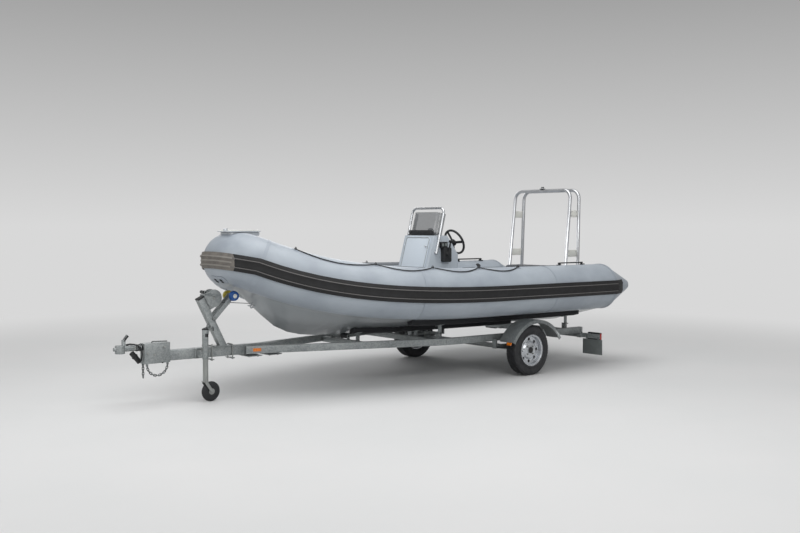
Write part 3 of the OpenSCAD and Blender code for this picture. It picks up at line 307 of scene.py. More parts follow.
def lens(name, colour):
    f = Finish(name, coat_weight=0.8, coat_roughness=0.05)
    rib = f.node("TexWave", {"bands_direction": "Y"}, {"Vector": f.place, "Scale": 45.0})
    colour = f.mix(rib * 0.4, colour, dull(colour, 0.6))
    return f.wear(colour, f.noise(30.0) * 0.06 + 0.12, rib, 0.0015, 0.6)


tube_skin = tube_fabric()
strake_skin = strake_rubber()
FINISH = {}


def make_finishes():
    table = {
        "tube_fabric": tube_skin,
        "strake": strake_skin,
        "tape": plain_finish("seam_tape", tone(150, 158, 167), 0.42, 300.0, 0.0006, mottle=0.05),
        "rib": plain_finish("strake_rib", tone(104, 102, 101), 0.5, 300.0, 0.0005),
        "bow_rib": plain_finish("bow_strake_rib", tone(134, 130, 124), 0.5, 300.0, 0.0008),
        "pad": plain_finish("wear_pad", tone(92, 97, 103), 0.62, 260.0, 0.0012),
        "hull": gelcoat("hull_gelcoat", tone(156, 161, 164)),
        "moulding": gelcoat("deck_moulding", tone(186, 191, 195)),
        "deck": nonslip(),
        "console": gelcoat("console_gelcoat", tone(176, 184, 192), 3.0),
        "panel": gelcoat("panel_gelcoat", tone(196, 205, 214), 3.0),
        "screen": smoked(),
        "polished": polished("polished_tube", tone(206, 208, 211), 0.24),
        "stainless": polished("stainless", tone(205, 207, 210), 0.2, (1, 1, 1)),
        "galvanised": galvanised(),
        "dark_steel": galvanised("dark_steel", 0.45),
        "chain_steel": galvanised("chain_steel", 0.6),
        "zinc": plain_finish("zinc_plate", tone(160, 162, 160), 0.38, 180.0, 0.0006, metallic=0.8),
        "black": plain_finish("black_plastic", tone(30, 31, 33), 0.5, 380.0, 0.0006),
        "rubber": plain_finish("black_rubber", tone(34, 35, 37), 0.68, 320.0, 0.0010),
        "rope": braid(),
        "vinyl": vinyl(),
        "tyre": tyre_rubber(),
        "rim": plain_finish("rim_paint", tone(196, 199, 203), 0.24, 220.0, 0.0003, mottle=0.06, metallic=0.75),
        "blue": plain_finish("roller_blue", tone(36, 84, 150), 0.5, 240.0, 0.0008),
        "olive": plain_finish("roller_olive", tone(176, 160, 62), 0.5, 240.0, 0.0008),
        "carpet": plain_finish("bunk_pad", tone(40, 41, 44), 0.85, 600.0, 0.0025),
        "red": lens("lens_red", tone(176, 28, 24)),
        "amber": lens("lens_amber", tone(226, 122, 22)),
        "clear": lens("lens_clear", tone(214, 216, 218)),
        "plate": plain_finish("plate_grey", tone(112, 118, 117), 0.5, 260.0, 0.0006),
        "off_white": plain_finish("off_white", tone(222, 222, 216), 0.42, 260.0, 0.0005),
    }
    FINISH.update(table)


make_finishes()

# ---- Making pieces.


def clear():
    if bpy.context.object and bpy.context.object.mode != "OBJECT":
        bpy.ops.object.mode_set(mode="OBJECT")
    bpy.ops.object.select_all(action="DESELECT")


def settle(name, finish, smooth=35, bevel=0.0, segments=2):
    """Finishes the active object: rounds its edges, settles its place and names it."""
    piece = bpy.context.object
    bpy.ops.object.transform_apply(location=True, rotation=True, scale=True)
    if bevel:
        add_modifier(piece, "BEVEL", width=bevel, segments=segments, limit_method="ANGLE", angle_limit=radians(35))
    bpy.ops.object.shade_smooth_by_angle(angle=radians(smooth))
    piece.name = piece.data.name = name
    piece.data.materials.clear()
    piece.data.materials.append(FINISH[finish])
    return piece


def add_modifier(piece, kind, **settings):
    modifier = piece.modifiers.new(kind.lower(), kind)
    for key, value in settings.items():
        setattr(modifier, key, value)
    bpy.ops.object.modifier_apply(modifier=modifier.name)


def aim(direction, roll=0.0):
    return (Vector(direction).to_track_quat("Z", "Y").to_matrix() @ Matrix.Rotation(roll, 3, "Z")).to_euler()


def block(name, centre, size, finish, turn=(0, 0, 0), bevel=0.003, segments=2):
    clear()
    bpy.ops.mesh.primitive_cube_add(size=1, location=centre, rotation=turn)
    bpy.context.object.scale = size
    return settle(name, finish, bevel=bevel, segments=segments)


def rod(name, start, end, radius, finish, sides=24, bevel=0.0, tip=None):
    start, end = Vector(start), Vector(end)
    clear()
    bpy.ops.mesh.primitive_cone_add(vertices=sides, radius1=radius, radius2=radius if tip is None else tip,
                                    depth=(end - start).length, location=(start + end) / 2, rotation=aim(end - start))
    return settle(name, finish, bevel=bevel)


def ring(name, centre, direction, radius, wire, finish, sides=48, section=10):
    clear()
    bpy.ops.mesh.primitive_torus_add(major_radius=radius, minor_radius=wire, major_segments=sides,
                                     minor_segments=section, location=centre, rotation=aim(direction))
    return settle(name, finish, smooth=60)


def turned(name, centre, direction, steps, finish, sides=48, smooth=35, bevel=0.0):
    """A turned form: a disc drawn up through rings of (height, radius)."""
    clear()
    foot, radius = steps[0]
    bpy.ops.mesh.primitive_circle_add(vertices=sides, radius=radius, fill_type="NGON", location=(0, 0, foot))
    bpy.ops.object.transform_apply(location=True, rotation=True, scale=True)
    bpy.ops.object.mode_set(mode="EDIT")
    bpy.ops.mesh.select_mode(type="FACE")
    bpy.ops.mesh.select_all(action="SELECT")
    for height, wide in steps[1:]:
        bpy.ops.mesh.extrude_region_move(TRANSFORM_OT_translate={"value": (0, 0, height - foot)})
        bpy.ops.transform.resize(value=(wide / radius, wide / radius, 1), center_override=(0, 0, height))
        foot, radius = height, wide
    bpy.ops.mesh.select_all(action="SELECT")
    bpy.ops.mesh.normals_make_consistent(inside=False)
    bpy.ops.object.mode_set(mode="OBJECT")
    bpy.context.object.location = centre
    bpy.context.object.rotation_euler = aim(direction)
    return settle(name, finish, smooth=smooth, bevel=bevel)


def pipe(name, points, radius, finish, sides=8):
    """A round bar, wire or rope along points."""
    clear()
    curve = bpy.data.curves.new(name, "CURVE")
    curve.dimensions, curve.bevel_depth, curve.bevel_resolution, curve.use_fill_caps = "3D", radius, max(1, sides // 4), True
    spline = curve.splines.new("NURBS")
    spline.points.add(len(points) - 1)
    for point, place in zip(spline.points, points):
        point.co = (*place, 1)
    spline.use_endpoint_u, spline.order_u, spline.resolution_u = True, min(4, len(points)), 4
    piece = bpy.data.objects.new(name, curve)
    bpy.context.scene.collection.objects.link(piece)
    bpy.context.view_layer.objects.active = piece
    piece.select_set(True)
    bpy.ops.object.convert(target="MESH")
    return settle(name, finish, smooth=60)


def bent(name, points, radius, finish, bend=0.03, sides=12):
    """A bar bent round each corner of its route."""
    places = [Vector(points[0])]
    for before, corner, after in zip(points, points[1:], points[2:]):
        before, corner, after = Vector(before), Vector(corner), Vector(after)
        come, go = (corner - before).normalized(), (after - corner).normalized()
        for t in (-1, -0.5, 0, 0.5, 1):
            places.append(corner + (come * t if t < 0 else go * t) * bend * abs(t) if t else corner - (come - go) * bend * 0.16)
    places.append(Vector(points[-1]))
    return pipe(name, [places[0]] + places + [places[-1]], radius, finish, sides)


def join(name, parts):
    clear()
    for part in parts:
        part.select_set(True)
    bpy.context.view_layer.objects.active = parts[0]
    if len(parts) > 1:
        bpy.ops.object.join()
    piece = bpy.context.object
    piece.name = piece.data.name = name
    return piece


def carry(piece, body=BOAT, replaces=()):
    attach(piece, body)
    if replaces:
        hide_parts(*replaces)
    return piece


def skin(node, finish, smooth=30, bevel=0.0, quads=False, subdivide=0, body=BOAT, change=None):
    """A merged and smoothed copy that stands for a CAD node."""
    clear()
    source = bpy.data.objects[node]
    piece = source.copy()
    piece.data = source.data.copy()
    piece.name = node + "_skin"
    bpy.context.scene.collection.objects.link(piece)
    piece.hide_render = piece.hide_viewport = False
    bpy.context.view_layer.objects.active = piece
    piece.select_set(True)
    bpy.ops.object.mode_set(mode="EDIT")
    bpy.ops.mesh.select_all(action="SELECT")
    bpy.ops.mesh.remove_doubles(threshold=0.00002)
    if quads:
        bpy.ops.mesh.tris_convert_to_quads(face_threshold=radians(60), shape_threshold=radians(60))
    else:
        bpy.ops.mesh.dissolve_limited(angle_limit=radians(0.6))
    bpy.ops.object.mode_set(mode="OBJECT")
    if change:
        change(piece)
    if bevel:
        add_modifier(piece, "BEVEL", width=bevel, segments=2, limit_method="ANGLE", angle_limit=radians(40))
    if subdivide:
        add_modifier(piece, "SUBSURF", levels=subdivide, render_levels=subdivide)
    bpy.ops.object.shade_smooth_by_angle(angle=radians(smooth))
    piece.data.materials.clear()
    piece.data.materials.append(FINISH[finish])
    return carry(piece, body, (node,))


def bolt(place, direction, size=0.010, finish="zinc"):
    """A hexagon head on a washer."""
    place, direction = Vector(place), Vector(direction).normalized()
    washer = turned("washer", place, direction, ((-0.002, size * 1.15), (0, size * 1.15), (0.0022, size * 1.15)), finish, 20)
    head = rod("head", place + direction * 0.002, place + direction * (0.002 + size * 0.75), size, finish, 6, 0.0012)
    return join("bolt", [washer, head])


def bolts(name, places, direction, size=0.010, finish="zinc", body=BOAT):
    first = bolt(places[0], direction, size, finish)
    parts = [first]
    for place in places[1:]:
        clear()
        twin = first.copy()
        twin.data = first.data.copy()
        bpy.context.scene.collection.objects.link(twin)
        twin.select_set(True)
        bpy.context.view_layer.objects.active = twin
        bpy.ops.transform.translate(value=Vector(place) - Vector(places[0]))
        bpy.ops.object.transform_apply(location=True, rotation=True, scale=True)
        parts.append(twin)
    return carry(join(name, parts), body)


# ---- Camera, floor and lamps.
CAMERA_AT = Vector((6.989, 8.576, 1.728))
CAMERA_ALONG = Vector((-0.6436, -0.7642, -0.0426))


BACKDROP = tone(216, 216, 216)


def studio():
    clear()
    bpy.ops.object.camera_add(location=CAMERA_AT, rotation=CAMERA_ALONG.to_track_quat("-Z", "Y").to_euler())
    camera = bpy.context.object
    camera.data.lens, camera.data.sensor_width, camera.data.clip_end = 43.5, 36, 200
    bpy.context.scene.camera = camera
    bpy.context.scene.view_settings.view_transform = "Standard"

    bpy.ops.mesh.primitive_circle_add(vertices=96, radius=60, fill_type="NGON", location=(0, 0, 0))
    floor = bpy.context.object
    floor.name = "floor"
    f = Finish("studio_floor")
    shade = f.mix(f.ramp(f.noise(0.6, 3.0), 0.3, 0.7), tone(204, 205, 205), tone(208, 208, 208))
    floor.data.materials.append(f.wear(shade, f.noise(4.0) * 0.1 + 0.75))
    # Far off, the floor takes the backdrop's colour, so that no line shows where they meet.
    away = f.node("VectorMath", {"operation": "LENGTH"}, {0: f.place}, wanted="Value")
    share = f.node("MapRange", {"interpolation_type": "SMOOTHSTEP"}, {"Value": away, "From Min": 3.4, "From Max": 10.0})
    seen_first = f.node("LightPath", wanted="Is Camera Ray")
    glow = f.node("Emission", inputs={"Color": BACKDROP, "Strength": 1.0})
    faded = f.node("MixShader", inputs={0: share * seen_first, 1: Wire(f, f.shader.outputs[0]), 2: glow})
    f.tree.links.new(faded.socket, f.tree.nodes["Material Output"].inputs["Surface"])

    world = bpy.context.scene.world or bpy.data.worlds.new("studio")
    bpy.context.scene.world = world
    world.use_nodes = True
    nodes, links = world.node_tree.nodes, world.node_tree.links
    back = nodes["Background"]
    back.inputs["Color"].default_value = (1.0, 1.0, 1.0, 1)
    back.inputs["Strength"].default_value = 0.42
    # The world that the camera sees goes from the BACKDROP grey at the horizon to a darker grey higher up: painted
    # shade on the upper backdrop.
    seen = nodes.new("ShaderNodeBackground")
    compass = nodes.new("ShaderNodeTexCoord")
    height = nodes.new("ShaderNodeSeparateXYZ")
    links.new(compass.outputs["Generated"], height.inputs[0])
    rise = nodes.new("ShaderNodeMapRange")
    rise.inputs["From Max"].default_value = 0.26
    links.new(height.outputs["Z"], rise.inputs["Value"])
    backdrop_painted_shade = nodes.new("ShaderNodeMix")
    backdrop_painted_shade.data_type = "RGBA"
    backdrop_painted_shade.inputs[6].default_value, backdrop_painted_shade.inputs[7].default_value = (*BACKDROP, 1), (*tone(150, 150, 150), 1)
    links.new(rise.outputs[0], backdrop_painted_shade.inputs[0])
    links.new(backdrop_painted_shade.outputs[2], seen.inputs["Color"])
    path = nodes.new("ShaderNodeLightPath")
    either = nodes.new("ShaderNodeMath")
    either.operation = "MAXIMUM"
    links.new(path.outputs["Is Camera Ray"], either.inputs[0])
    links.new(path.outputs["Is Transmission Ray"], either.inputs[1])
    choose = nodes.new("ShaderNodeMixShader")
    links.new(either.outputs[0], choose.inputs[0])
    links.new(back.outputs[0], choose.inputs[1])
    links.new(seen.outputs[0], choose.inputs[2])
    links.new(choose.outputs[0], nodes["World Output"].inputs["Surface"])

    for name, place, size, power in (("overhead", (0.5, 1.0, 7.5), (7, 7), 400), ("port_side", (2.5, 8.5, 5.2), (6, 4), 230),
                                     ("bow_side", (8.5, 1.0, 4.0), (5, 4), 150), ("far_side", (-3.5, -7.0, 4.5), (6, 4), 130)):
        bpy.ops.object.light_add(type="AREA", location=place)
        lamp = bpy.context.object
        lamp.name = name
        lamp.data.shape, lamp.data.size, lamp.data.size_y, lamp.data.energy = "RECTANGLE", size[0], size[1], power
        lamp.rotation_euler = (Vector((0, 0, 0.7)) - Vector(place)).to_track_quat("-Z", "Y").to_euler()


studio()

# ---- Tubes.


def open_ends(piece):
    """Takes off the flat ends that the stern cones cover."""
    bpy.ops.object.mode_set(mode="OBJECT")
    for face in piece.data.polygons:
        face.select = face.normal.x < -0.99
    bpy.ops.object.mode_set(mode="EDIT")
    bpy.ops.mesh.select_mode(type="FACE")
    bpy.ops.object.mode_set(mode="OBJECT")
    for face in piece.data.polygons:
        face.select = face.normal.x < -0.99 and face.center.x < AXLE_X - TUBE_END + 0.001
    bpy.ops.object.mode_set(mode="EDIT")
    bpy.ops.mesh.delete(type="FACE")
    bpy.ops.object.mode_set(mode="OBJECT")


skin("tube_collar", "tube_fabric", smooth=50, quads=True, subdivide=1, change=open_ends)
skin("stern_cones", "tube_fabric", smooth=50)
skin("rub_strake", "strake", smooth=28)


ROPE_X = (0.158, 0.794, 1.420, 2.089, 2.900)
ROPE_ANGLE = 78
BOW_CAP = 0.166    # run of the grey front piece of the strake, each way from the middle


def patch(name, run, angle, length, turn, finish, side=1, thick=0.0015, lift=0.0004, corners=0.0, cuts=(12, 12)):
    """A glued patch: a grid laid on the tube, length along it and turn degrees round it."""
    clear()
    bpy.ops.mesh.primitive_grid_add(x_subdivisions=cuts[0], y_subdivisions=cuts[1], size=2)
    piece = bpy.context.object
    for v in piece.data.vertices:
        u, w = v.co.x, v.co.y
        if corners:
            k = max(abs(u), abs(w)) / max(1e-9, (abs(u) ** corners + abs(w) ** corners) ** (1 / corners))
            u, w = u * k, w * k
        v.co = on_tube(run + u * length / 2, angle + w * turn / 2, lift, side)
    if side < 0:
        bpy.ops.object.mode_set(mode="EDIT")
        bpy.ops.mesh.select_all(action="SELECT")
        bpy.ops.mesh.flip_normals()
        bpy.ops.object.mode_set(mode="OBJECT")
    outward = piece.data.polygons[0]
    centre_line = on_tube(run, angle, -TUBE_R, side)
    if outward.normal.dot(outward.center - centre_line) < 0:
        bpy.ops.object.mode_set(mode="EDIT")
        bpy.ops.mesh.select_all(action="SELECT")
        bpy.ops.mesh.flip_normals()
        bpy.ops.object.mode_set(mode="OBJECT")
    add_modifier(piece, "SOLIDIFY", thickness=thick, offset=1)
    return settle(name, finish, smooth=40)


def tubes():
    seams, pads, rounds = [], [], []
    for side in (1, -1):
        for run in (0.004, SIDE_RUN + 0.9, HALF_RUN - BOW_HALF - CORNER_RUN - 0.02):
            seams.append(patch("seam", run, 40, 0.034, 250, "tape", side, cuts=(2, 60)))
        for run in (SIDE_RUN * 0.52,):
            seams.append(patch("seam", run, 40, 0.026, 250, "tape", side, cuts=(2, 60)))
        for x, long in ((-0.30, 0.62), (0.62, 0.62), (1.75, 0.60)):
            pads.append(patch("pad", run_at(x), 104, long, 26, "pad", side, 0.003, corners=8, cuts=(16, 8)))
        for x in ROPE_X:
            rounds.append(patch("round", run_at(x), ROPE_ANGLE, 0.080, 16, "tape", side, 0.003, corners=2, cuts=(14, 14)))
    carry(join("seam_tapes", seams))
    ribs = []
    for side in (1, -1):
        for turn in (-8.36, 8.36):
            long = HALF_RUN - BOW_CAP
            ribs.append(patch("rib", long / 2, turn, long, 1.5, "rib", side, 0.0016, 0.0240, cuts=(160, 1)))
        for turn in (-8.36, 0, 8.36):
            ribs.append(patch("front_rib", HALF_RUN - BOW_CAP / 2, turn, BOW_CAP, 3.0, "bow_rib", side, 0.004,
                              0.0236 if turn else 0.0150, cuts=(24, 2)))
    carry(join("strake_ribs", ribs))
    carry(join("wear_pads", pads))
    carry(join("anchor_patches", rounds))
    eyes = []
    for side in (1, -1):
        for x in ROPE_X:
            place = on_tube(run_at(x), ROPE_ANGLE, 0.003, side)
            out = (place - on_tube(run_at(x), ROPE_ANGLE, -0.1, side)).normalized()
            eyes.append(turned("eye", place, out, ((-0.002, 0.019), (0.004, 0.018), (0.008, 0.010), (0.012, 0.008)), "rubber", 20))
            eyes.append(ring("eye_loop", place + out * 0.010, X, 0.014, 0.0035, "black", 20, 8))
    carry(join("rope_eyes", eyes))
    bow = []
    for side in (1, -1):
        bow.append(patch("bow_patch", HALF_RUN - 0.05, -48, 0.13, 24, "tape", side, 0.003, corners=3))
    carry(join("bow_patches", bow))
    rings = []
    for side in (1, -1):
        for turn in (-46, -52):
            place = on_tube(HALF_RUN - 0.05, turn, 0.006, side)
            out = (place - on_tube(HALF_RUN - 0.05, turn, -0.1, side)).normalized()
            rings.append(block("tab", place, (0.034, 0.022, 0.008), "rubber", aim(out), 0.003))
    carry(join("bow_tabs", rings))
    valves = []
    for side in (1, -1):
        for x in (-0.95, 0.95):
            place = on_tube(run_at(x), 128, 0.0, side)
            out = (place - on_tube(run_at(x), 128, -0.1, side)).normalized()
            valves.append(turned("valve", place, out, ((-0.002, 0.034), (0.004, 0.033), (0.006, 0.026), (0.012, 0.022),
                                                       (0.012, 0.012), (0.008, 0.010)), "black", 32))
    carry(join("air_valves", valves))


tubes()
skin("tube_handles", "rubber", bevel=0.003)
skin("lifelines", "rope", smooth=60)
skin("rigid_hull", "hull", smooth=22)
skin("deck", "deck", smooth=30)
skin("transom", "hull", bevel=0.006)
skin("stern_bench", "hull", bevel=0.014)
skin("bow_eye", "stainless", smooth=60)
skin("bow_plate", "moulding", bevel=0.003)


def bow_fittings():
    low, high = box("bow_plate")
    centre = (low + high) / 2
    top = low.z + 0.010
    parts = [block("lip", (centre.x, y, top + 0.004), (high.x - low.x - 0.09, 0.008, 0.010), "off_white", bevel=0.003)
             for y in (low.y + 0.012, high.y - 0.012)]
    parts.append(block("lip", (low.x + 0.012, 0, top + 0.004), (0.008, 0.17, 0.010), "off_white", bevel=0.003))
    parts.append(block("step", (centre.x - 0.010, 0, low.z - 0.020), (high.x - low.x - 0.060, high.y - low.y - 0.040, 0.038),
                       "moulding", bevel=0.008))
    carry(join("bow_tray", parts))
    carry(turned("fairlead_post", (high.x - 0.045, 0, top), Z, ((0, 0.020), (0.006, 0.020), (0.010, 0.013), (0.018, 0.012),
                                                                  (0.022, 0.019), (0.025, 0.018)), "stainless", 32))
    bolts("bow_plate_screws", [(x, y, top) for x in (low.x + 0.05, high.x - 0.09) for y in (-0.085, 0.085)], Z, 0.006,
          "stainless")


bow_fittings()

# ---- Cockpit.


def cushion():
    """Crowned seat pad with sewn channels and piping."""
    low, high = box("bench_cushion")
    centre, size = (low + high) / 2, high - low
    clear()
    bpy.ops.mesh.primitive_cube_add(size=1, location=centre)
    piece = bpy.context.object
    piece.scale = (size.x - 0.02, size.y - 0.02, size.z - 0.026)
    bpy.ops.object.transform_apply(location=True, rotation=True, scale=True)
    add_modifier(piece, "BEVEL", width=0.022, segments=4, limit_method="NONE")
    add_modifier(piece, "REMESH", mode="VOXEL", voxel_size=0.008)
    cloth = piece.modifiers.new("stuffing", "CLOTH")
    cloth.settings.use_pressure = True
    cloth.settings.uniform_pressure_force = 4.0
    cloth.settings.effector_weights.gravity = 0
    rest = [v.co.copy() for v in piece.data.vertices]
    for step in range(1, 21):
        bpy.context.scene.frame_set(step)
    bpy.ops.object.modifier_apply(modifier=cloth.name)
    bpy.context.scene.frame_set(1)
    for v, was in zip(piece.data.vertices, rest):
        move = v.co - was
        v.co = was + move * min(1, 0.008 / max(move.length, 1e-9))
        v.co.z = max(v.co.z, low.z + 0.001)
    for v in piece.data.vertices:
        if v.co.z > centre.z:
            near = min(abs(v.co.y - low.y - size.y * k / 4) for k in (1, 2, 3))
            v.co.z -= 0.010 * max(0, 1 - near / 0.016) ** 2
            v.co.z = min(v.co.z, high.z)
    add_modifier(piece, "SUBSURF", levels=1, render_levels=1)
    piece = settle("bench_pad", "vinyl", smooth=80)
    carry(piece, replaces=("bench_cushion",))
    parts = []
    inset = 0.018
    for z in (low.z + 0.020, high.z - 0.020):
        corners = [(low.x + inset, low.y + 0.06), (low.x + inset, high.y - 0.06), (low.x + 0.05, high.y - inset),
                   (high.x - 0.05, high.y - inset), (high.x - inset, high.y - 0.06), (high.x - inset, low.y + 0.06),
                   (high.x - 0.05, low.y + inset), (low.x + 0.05, low.y + inset), (low.x + inset, low.y + 0.06)]
        parts.append(pipe("piping", [(x, y, z) for x, y in corners], 0.004, "rubber"))
    carry(join("bench_piping", parts))


cushion()
skin("console", "console", bevel=0.010)
skin("console_hatch", "panel", bevel=0.006, body="console_hatch")
skin("windscreen", "screen", smooth=40)
skin("console_rail", "stainless", smooth=60)
skin("dash", "black", bevel=0.004)
skin("steering_wheel", "black", smooth=40, bevel=0.002, body="steering_wheel")
skin("throttle", "black", bevel=0.004)
skin("arch_front_hoop", "polished", smooth=60)
skin("arch_rear_hoop", "polished", smooth=60)
skin("arch_plates", "off_white", bevel=0.002)
skin("arch_light", "black", bevel=0.002)


def cockpit():
    low, high = box("console")
    hatch_low, hatch_high = box("console_hatch")
    lean = atan2(0.211, 0.734)
    out = Vector((cos(lean), 0, sin(lean)))
    along = Vector((-sin(lean), 0, cos(lean)))
    hatch_mid = Vector(((hatch_low.x + hatch_high.x) / 2, 0.004, (hatch_low.z + hatch_high.z) / 2)) + out * 0.006

    def face(y, up, lift=0.0):
        return Vector((hatch_mid.x, y, hatch_mid.z)) + along * up + out * lift

    gasket = [face(sy * 0.202, sz * 0.246) for sy, sz in ((-1, -1), (1, -1), (1, 1), (-1, 1))]
    carry(bent("hatch_gasket", gasket + gasket[:2], 0.004, "plate", 0.05), "console_hatch")
    latch = [turned("latch", face(0.17, up, 0.006), out, ((-0.004, 0.013), (0.004, 0.012), (0.006, 0.009), (0.008, 0.008)),
                    "stainless", 28) for up in (-0.14, 0.14)]
    carry(join("hatch_latches", latch), "console_hatch")

    # Band at the screen's base, with its knobs.
    screen_low, screen_high = box("windscreen")
    half = 0.215
    parts = [block("band", (screen_high.x + 0.004, 0, screen_low.z + 0.034), (0.010, 2 * half, 0.058), "black", bevel=0.004)]
    for y in (-0.18, -0.06, 0.06, 0.18):
        parts.append(turned("knob", (screen_high.x + 0.008, y, screen_low.z + 0.034), X,
                            ((-0.002, 0.011), (0.005, 0.011), (0.008, 0.008)), "black", 20))
    carry(join("screen_band", parts))

    # Compass and instruments on the top.
    dash_low, dash_high = box("dash")
    dome = turned("compass", (AXLE_X + 0.659, 0.060, dash_high.z - 0.012), Z,
                  ((0, 0.042), (0.006, 0.042), (0.010, 0.034), (0.022, 0.029), (0.030, 0.018), (0.033, 0.006)), "black", 32)
    carry(dome)
    gauges = []
    for y in (-0.14, -0.05, 0.05, 0.14):
        place = Vector((AXLE_X + 0.573, y, high.z - 0.075))
        gauges.append(turned("gauge", place, (-1, 0, 0.3), ((-0.01, 0.036), (0.006, 0.036), (0.006, 0.030), (0.003, 0.029)),
                             "black", 32))
    carry(join("gauges", gauges))
    rocker = []
    for k in range(5):
        rocker.append(block("rocker", (AXLE_X + 0.600 + 0.001, -0.20 + k * 0.022, high.z + 0.004), (0.026, 0.014, 0.012),
                            "black", bevel=0.003))
    carry(join("rockers", rocker))

    # Switch box on the port side, below the rail.
    side_y = high.y
    parts = [block("box", (AXLE_X + 0.655, side_y + 0.020, 1.500), (0.10, 0.038, 0.070), "black", bevel=0.006)]
    for k in (-1, 1):
        parts.append(block("socket", (AXLE_X + 0.655 + k * 0.024, side_y + 0.041, 1.500), (0.030, 0.006, 0.034), "plate", bevel=0.003))
    carry(join("switch_box", parts))

    # Wheel boss and throttle grip.
    wheel_low, wheel_high = box("steering_wheel")
    hub = at(0.215, 0, 1.527)
    column = Vector((-cos(radians(24)), 0, sin(radians(24))))
    carry(turned("wheel_boss", hub - column * 0.014, column, ((0, 0.036), (0.006, 0.036), (0.012, 0.028), (0.014, 0.012)),
                 "stainless", 32), "steering_wheel")
    cap = turned("throttle_grip", at(0.620 - 0.036 + 0.002, 0.262 + 0.080, 1.385 + 0.157), Y,
                 ((-0.002, 0.0165), (0.006, 0.018), (0.026, 0.018), (0.034, 0.0165)), "rubber", 24)
    carry(cap)

    # Feet of the rails.
    feet = []
    for side in (1, -1):
        for x, z in ((0.762, 1.412), (0.716, 1.598)):
            feet.append(turned("foot", at(x, side * (0.262 + 0.001), z), (0, side, 0),
                               ((0, 0.024), (0.004, 0.024), (0.006, 0.018)), "stainless", 24))
    carry(join("rail_feet", feet))


cockpit()


def arch():
    low, high = box("arch_light")
    centre = (low + high) / 2
    parts = [turned("lamp", (centre.x, 0, low.z + 0.006), Z, ((0, 0.024), (0.004, 0.024), (0.006, 0.020), (0.020, 0.020),
                                                                 (0.022, 0.022), (0.024, 0.012)), "clear", 32)]
    carry(join("mast_lamp", parts))
    heads = []
    for side in (1, -1):
        for z in (1.367, 1.875):
            t = (z - 1.131) / 1.05
            half = 0.488 - 0.010 * t
            for end in (-1, 1):
                x = -(1.3895 + 0.0725 * t) + end * (0.1225 - 0.040 * t - 0.046)
                heads += [(AXLE_X + x, side * (half + 0.003), z + up) for up in (-0.026, 0.026)]
    port = [p for p in heads if p[1] > 0]
    star = [p for p in heads if p[1] < 0]
    bolts("arch_bolts_port", port, Y, 0.006, "stainless")
    bolts("arch_bolts_starboard", star, -Y, 0.006, "stainless")
    feet = []
    for side in (1, -1):
        for x in (-1.267, -1.512):
            for k in range(4):
                a = radians(45 + 90 * k)
                feet.append((AXLE_X + x + 0.034 * cos(a), side * 0.488 + 0.034 * sin(a), 1.1392))
    bolts("arch_foot_bolts", feet, Z, 0.005, "stainless")


arch()

# ---- Trailer.
for node in ("drawbar", "side_rails", "crossmembers", "axle", "winch_post", "jack_bracket"):
    skin(node, "galvanised", bevel=0.004)
for node in ("leaf_springs", "fenders", "bunk_posts", "light_bar"):
    skin(node, "galvanised", bevel=0.0012)
skin("jack_outer", "galvanised", bevel=0.002, body="jack_outer")
skin("jack_leg", "zinc", body="jack_leg")
skin("jack_fork", "zinc", bevel=0.001, body="jack_fork")
skin("jack_wheel", "rubber", bevel=0.002, body="jack_wheel")
skin("bunks", "carpet", bevel=0.006)
skin("keel_rollers", "rubber", bevel=0.003)
skin("winch", "galvanised", bevel=0.002)
skin("winch_strap", "rubber", bevel=0.001)
skin("coupler", "galvanised", bevel=0.003)
skin("safety_chains", "chain_steel", smooth=60)
skin("light_plug", "black", smooth=45)
skin("number_plate", "plate", bevel=0.001)
skin("tail_lamps", "black", bevel=0.004)


def tuck_tread(piece):
    """Draws the tread's face in, to leave room for the blocks."""
    centre = middle(piece.name.replace("_skin", ""))
    for v in piece.data.vertices:
        away = Vector((v.co.x - centre.x, 0, v.co.z - centre.z))
        if away.length > 0.276:
            short = away.normalized() * (away.length - 0.0055)
            v.co.x, v.co.z = centre.x + short.x, centre.z + short.z


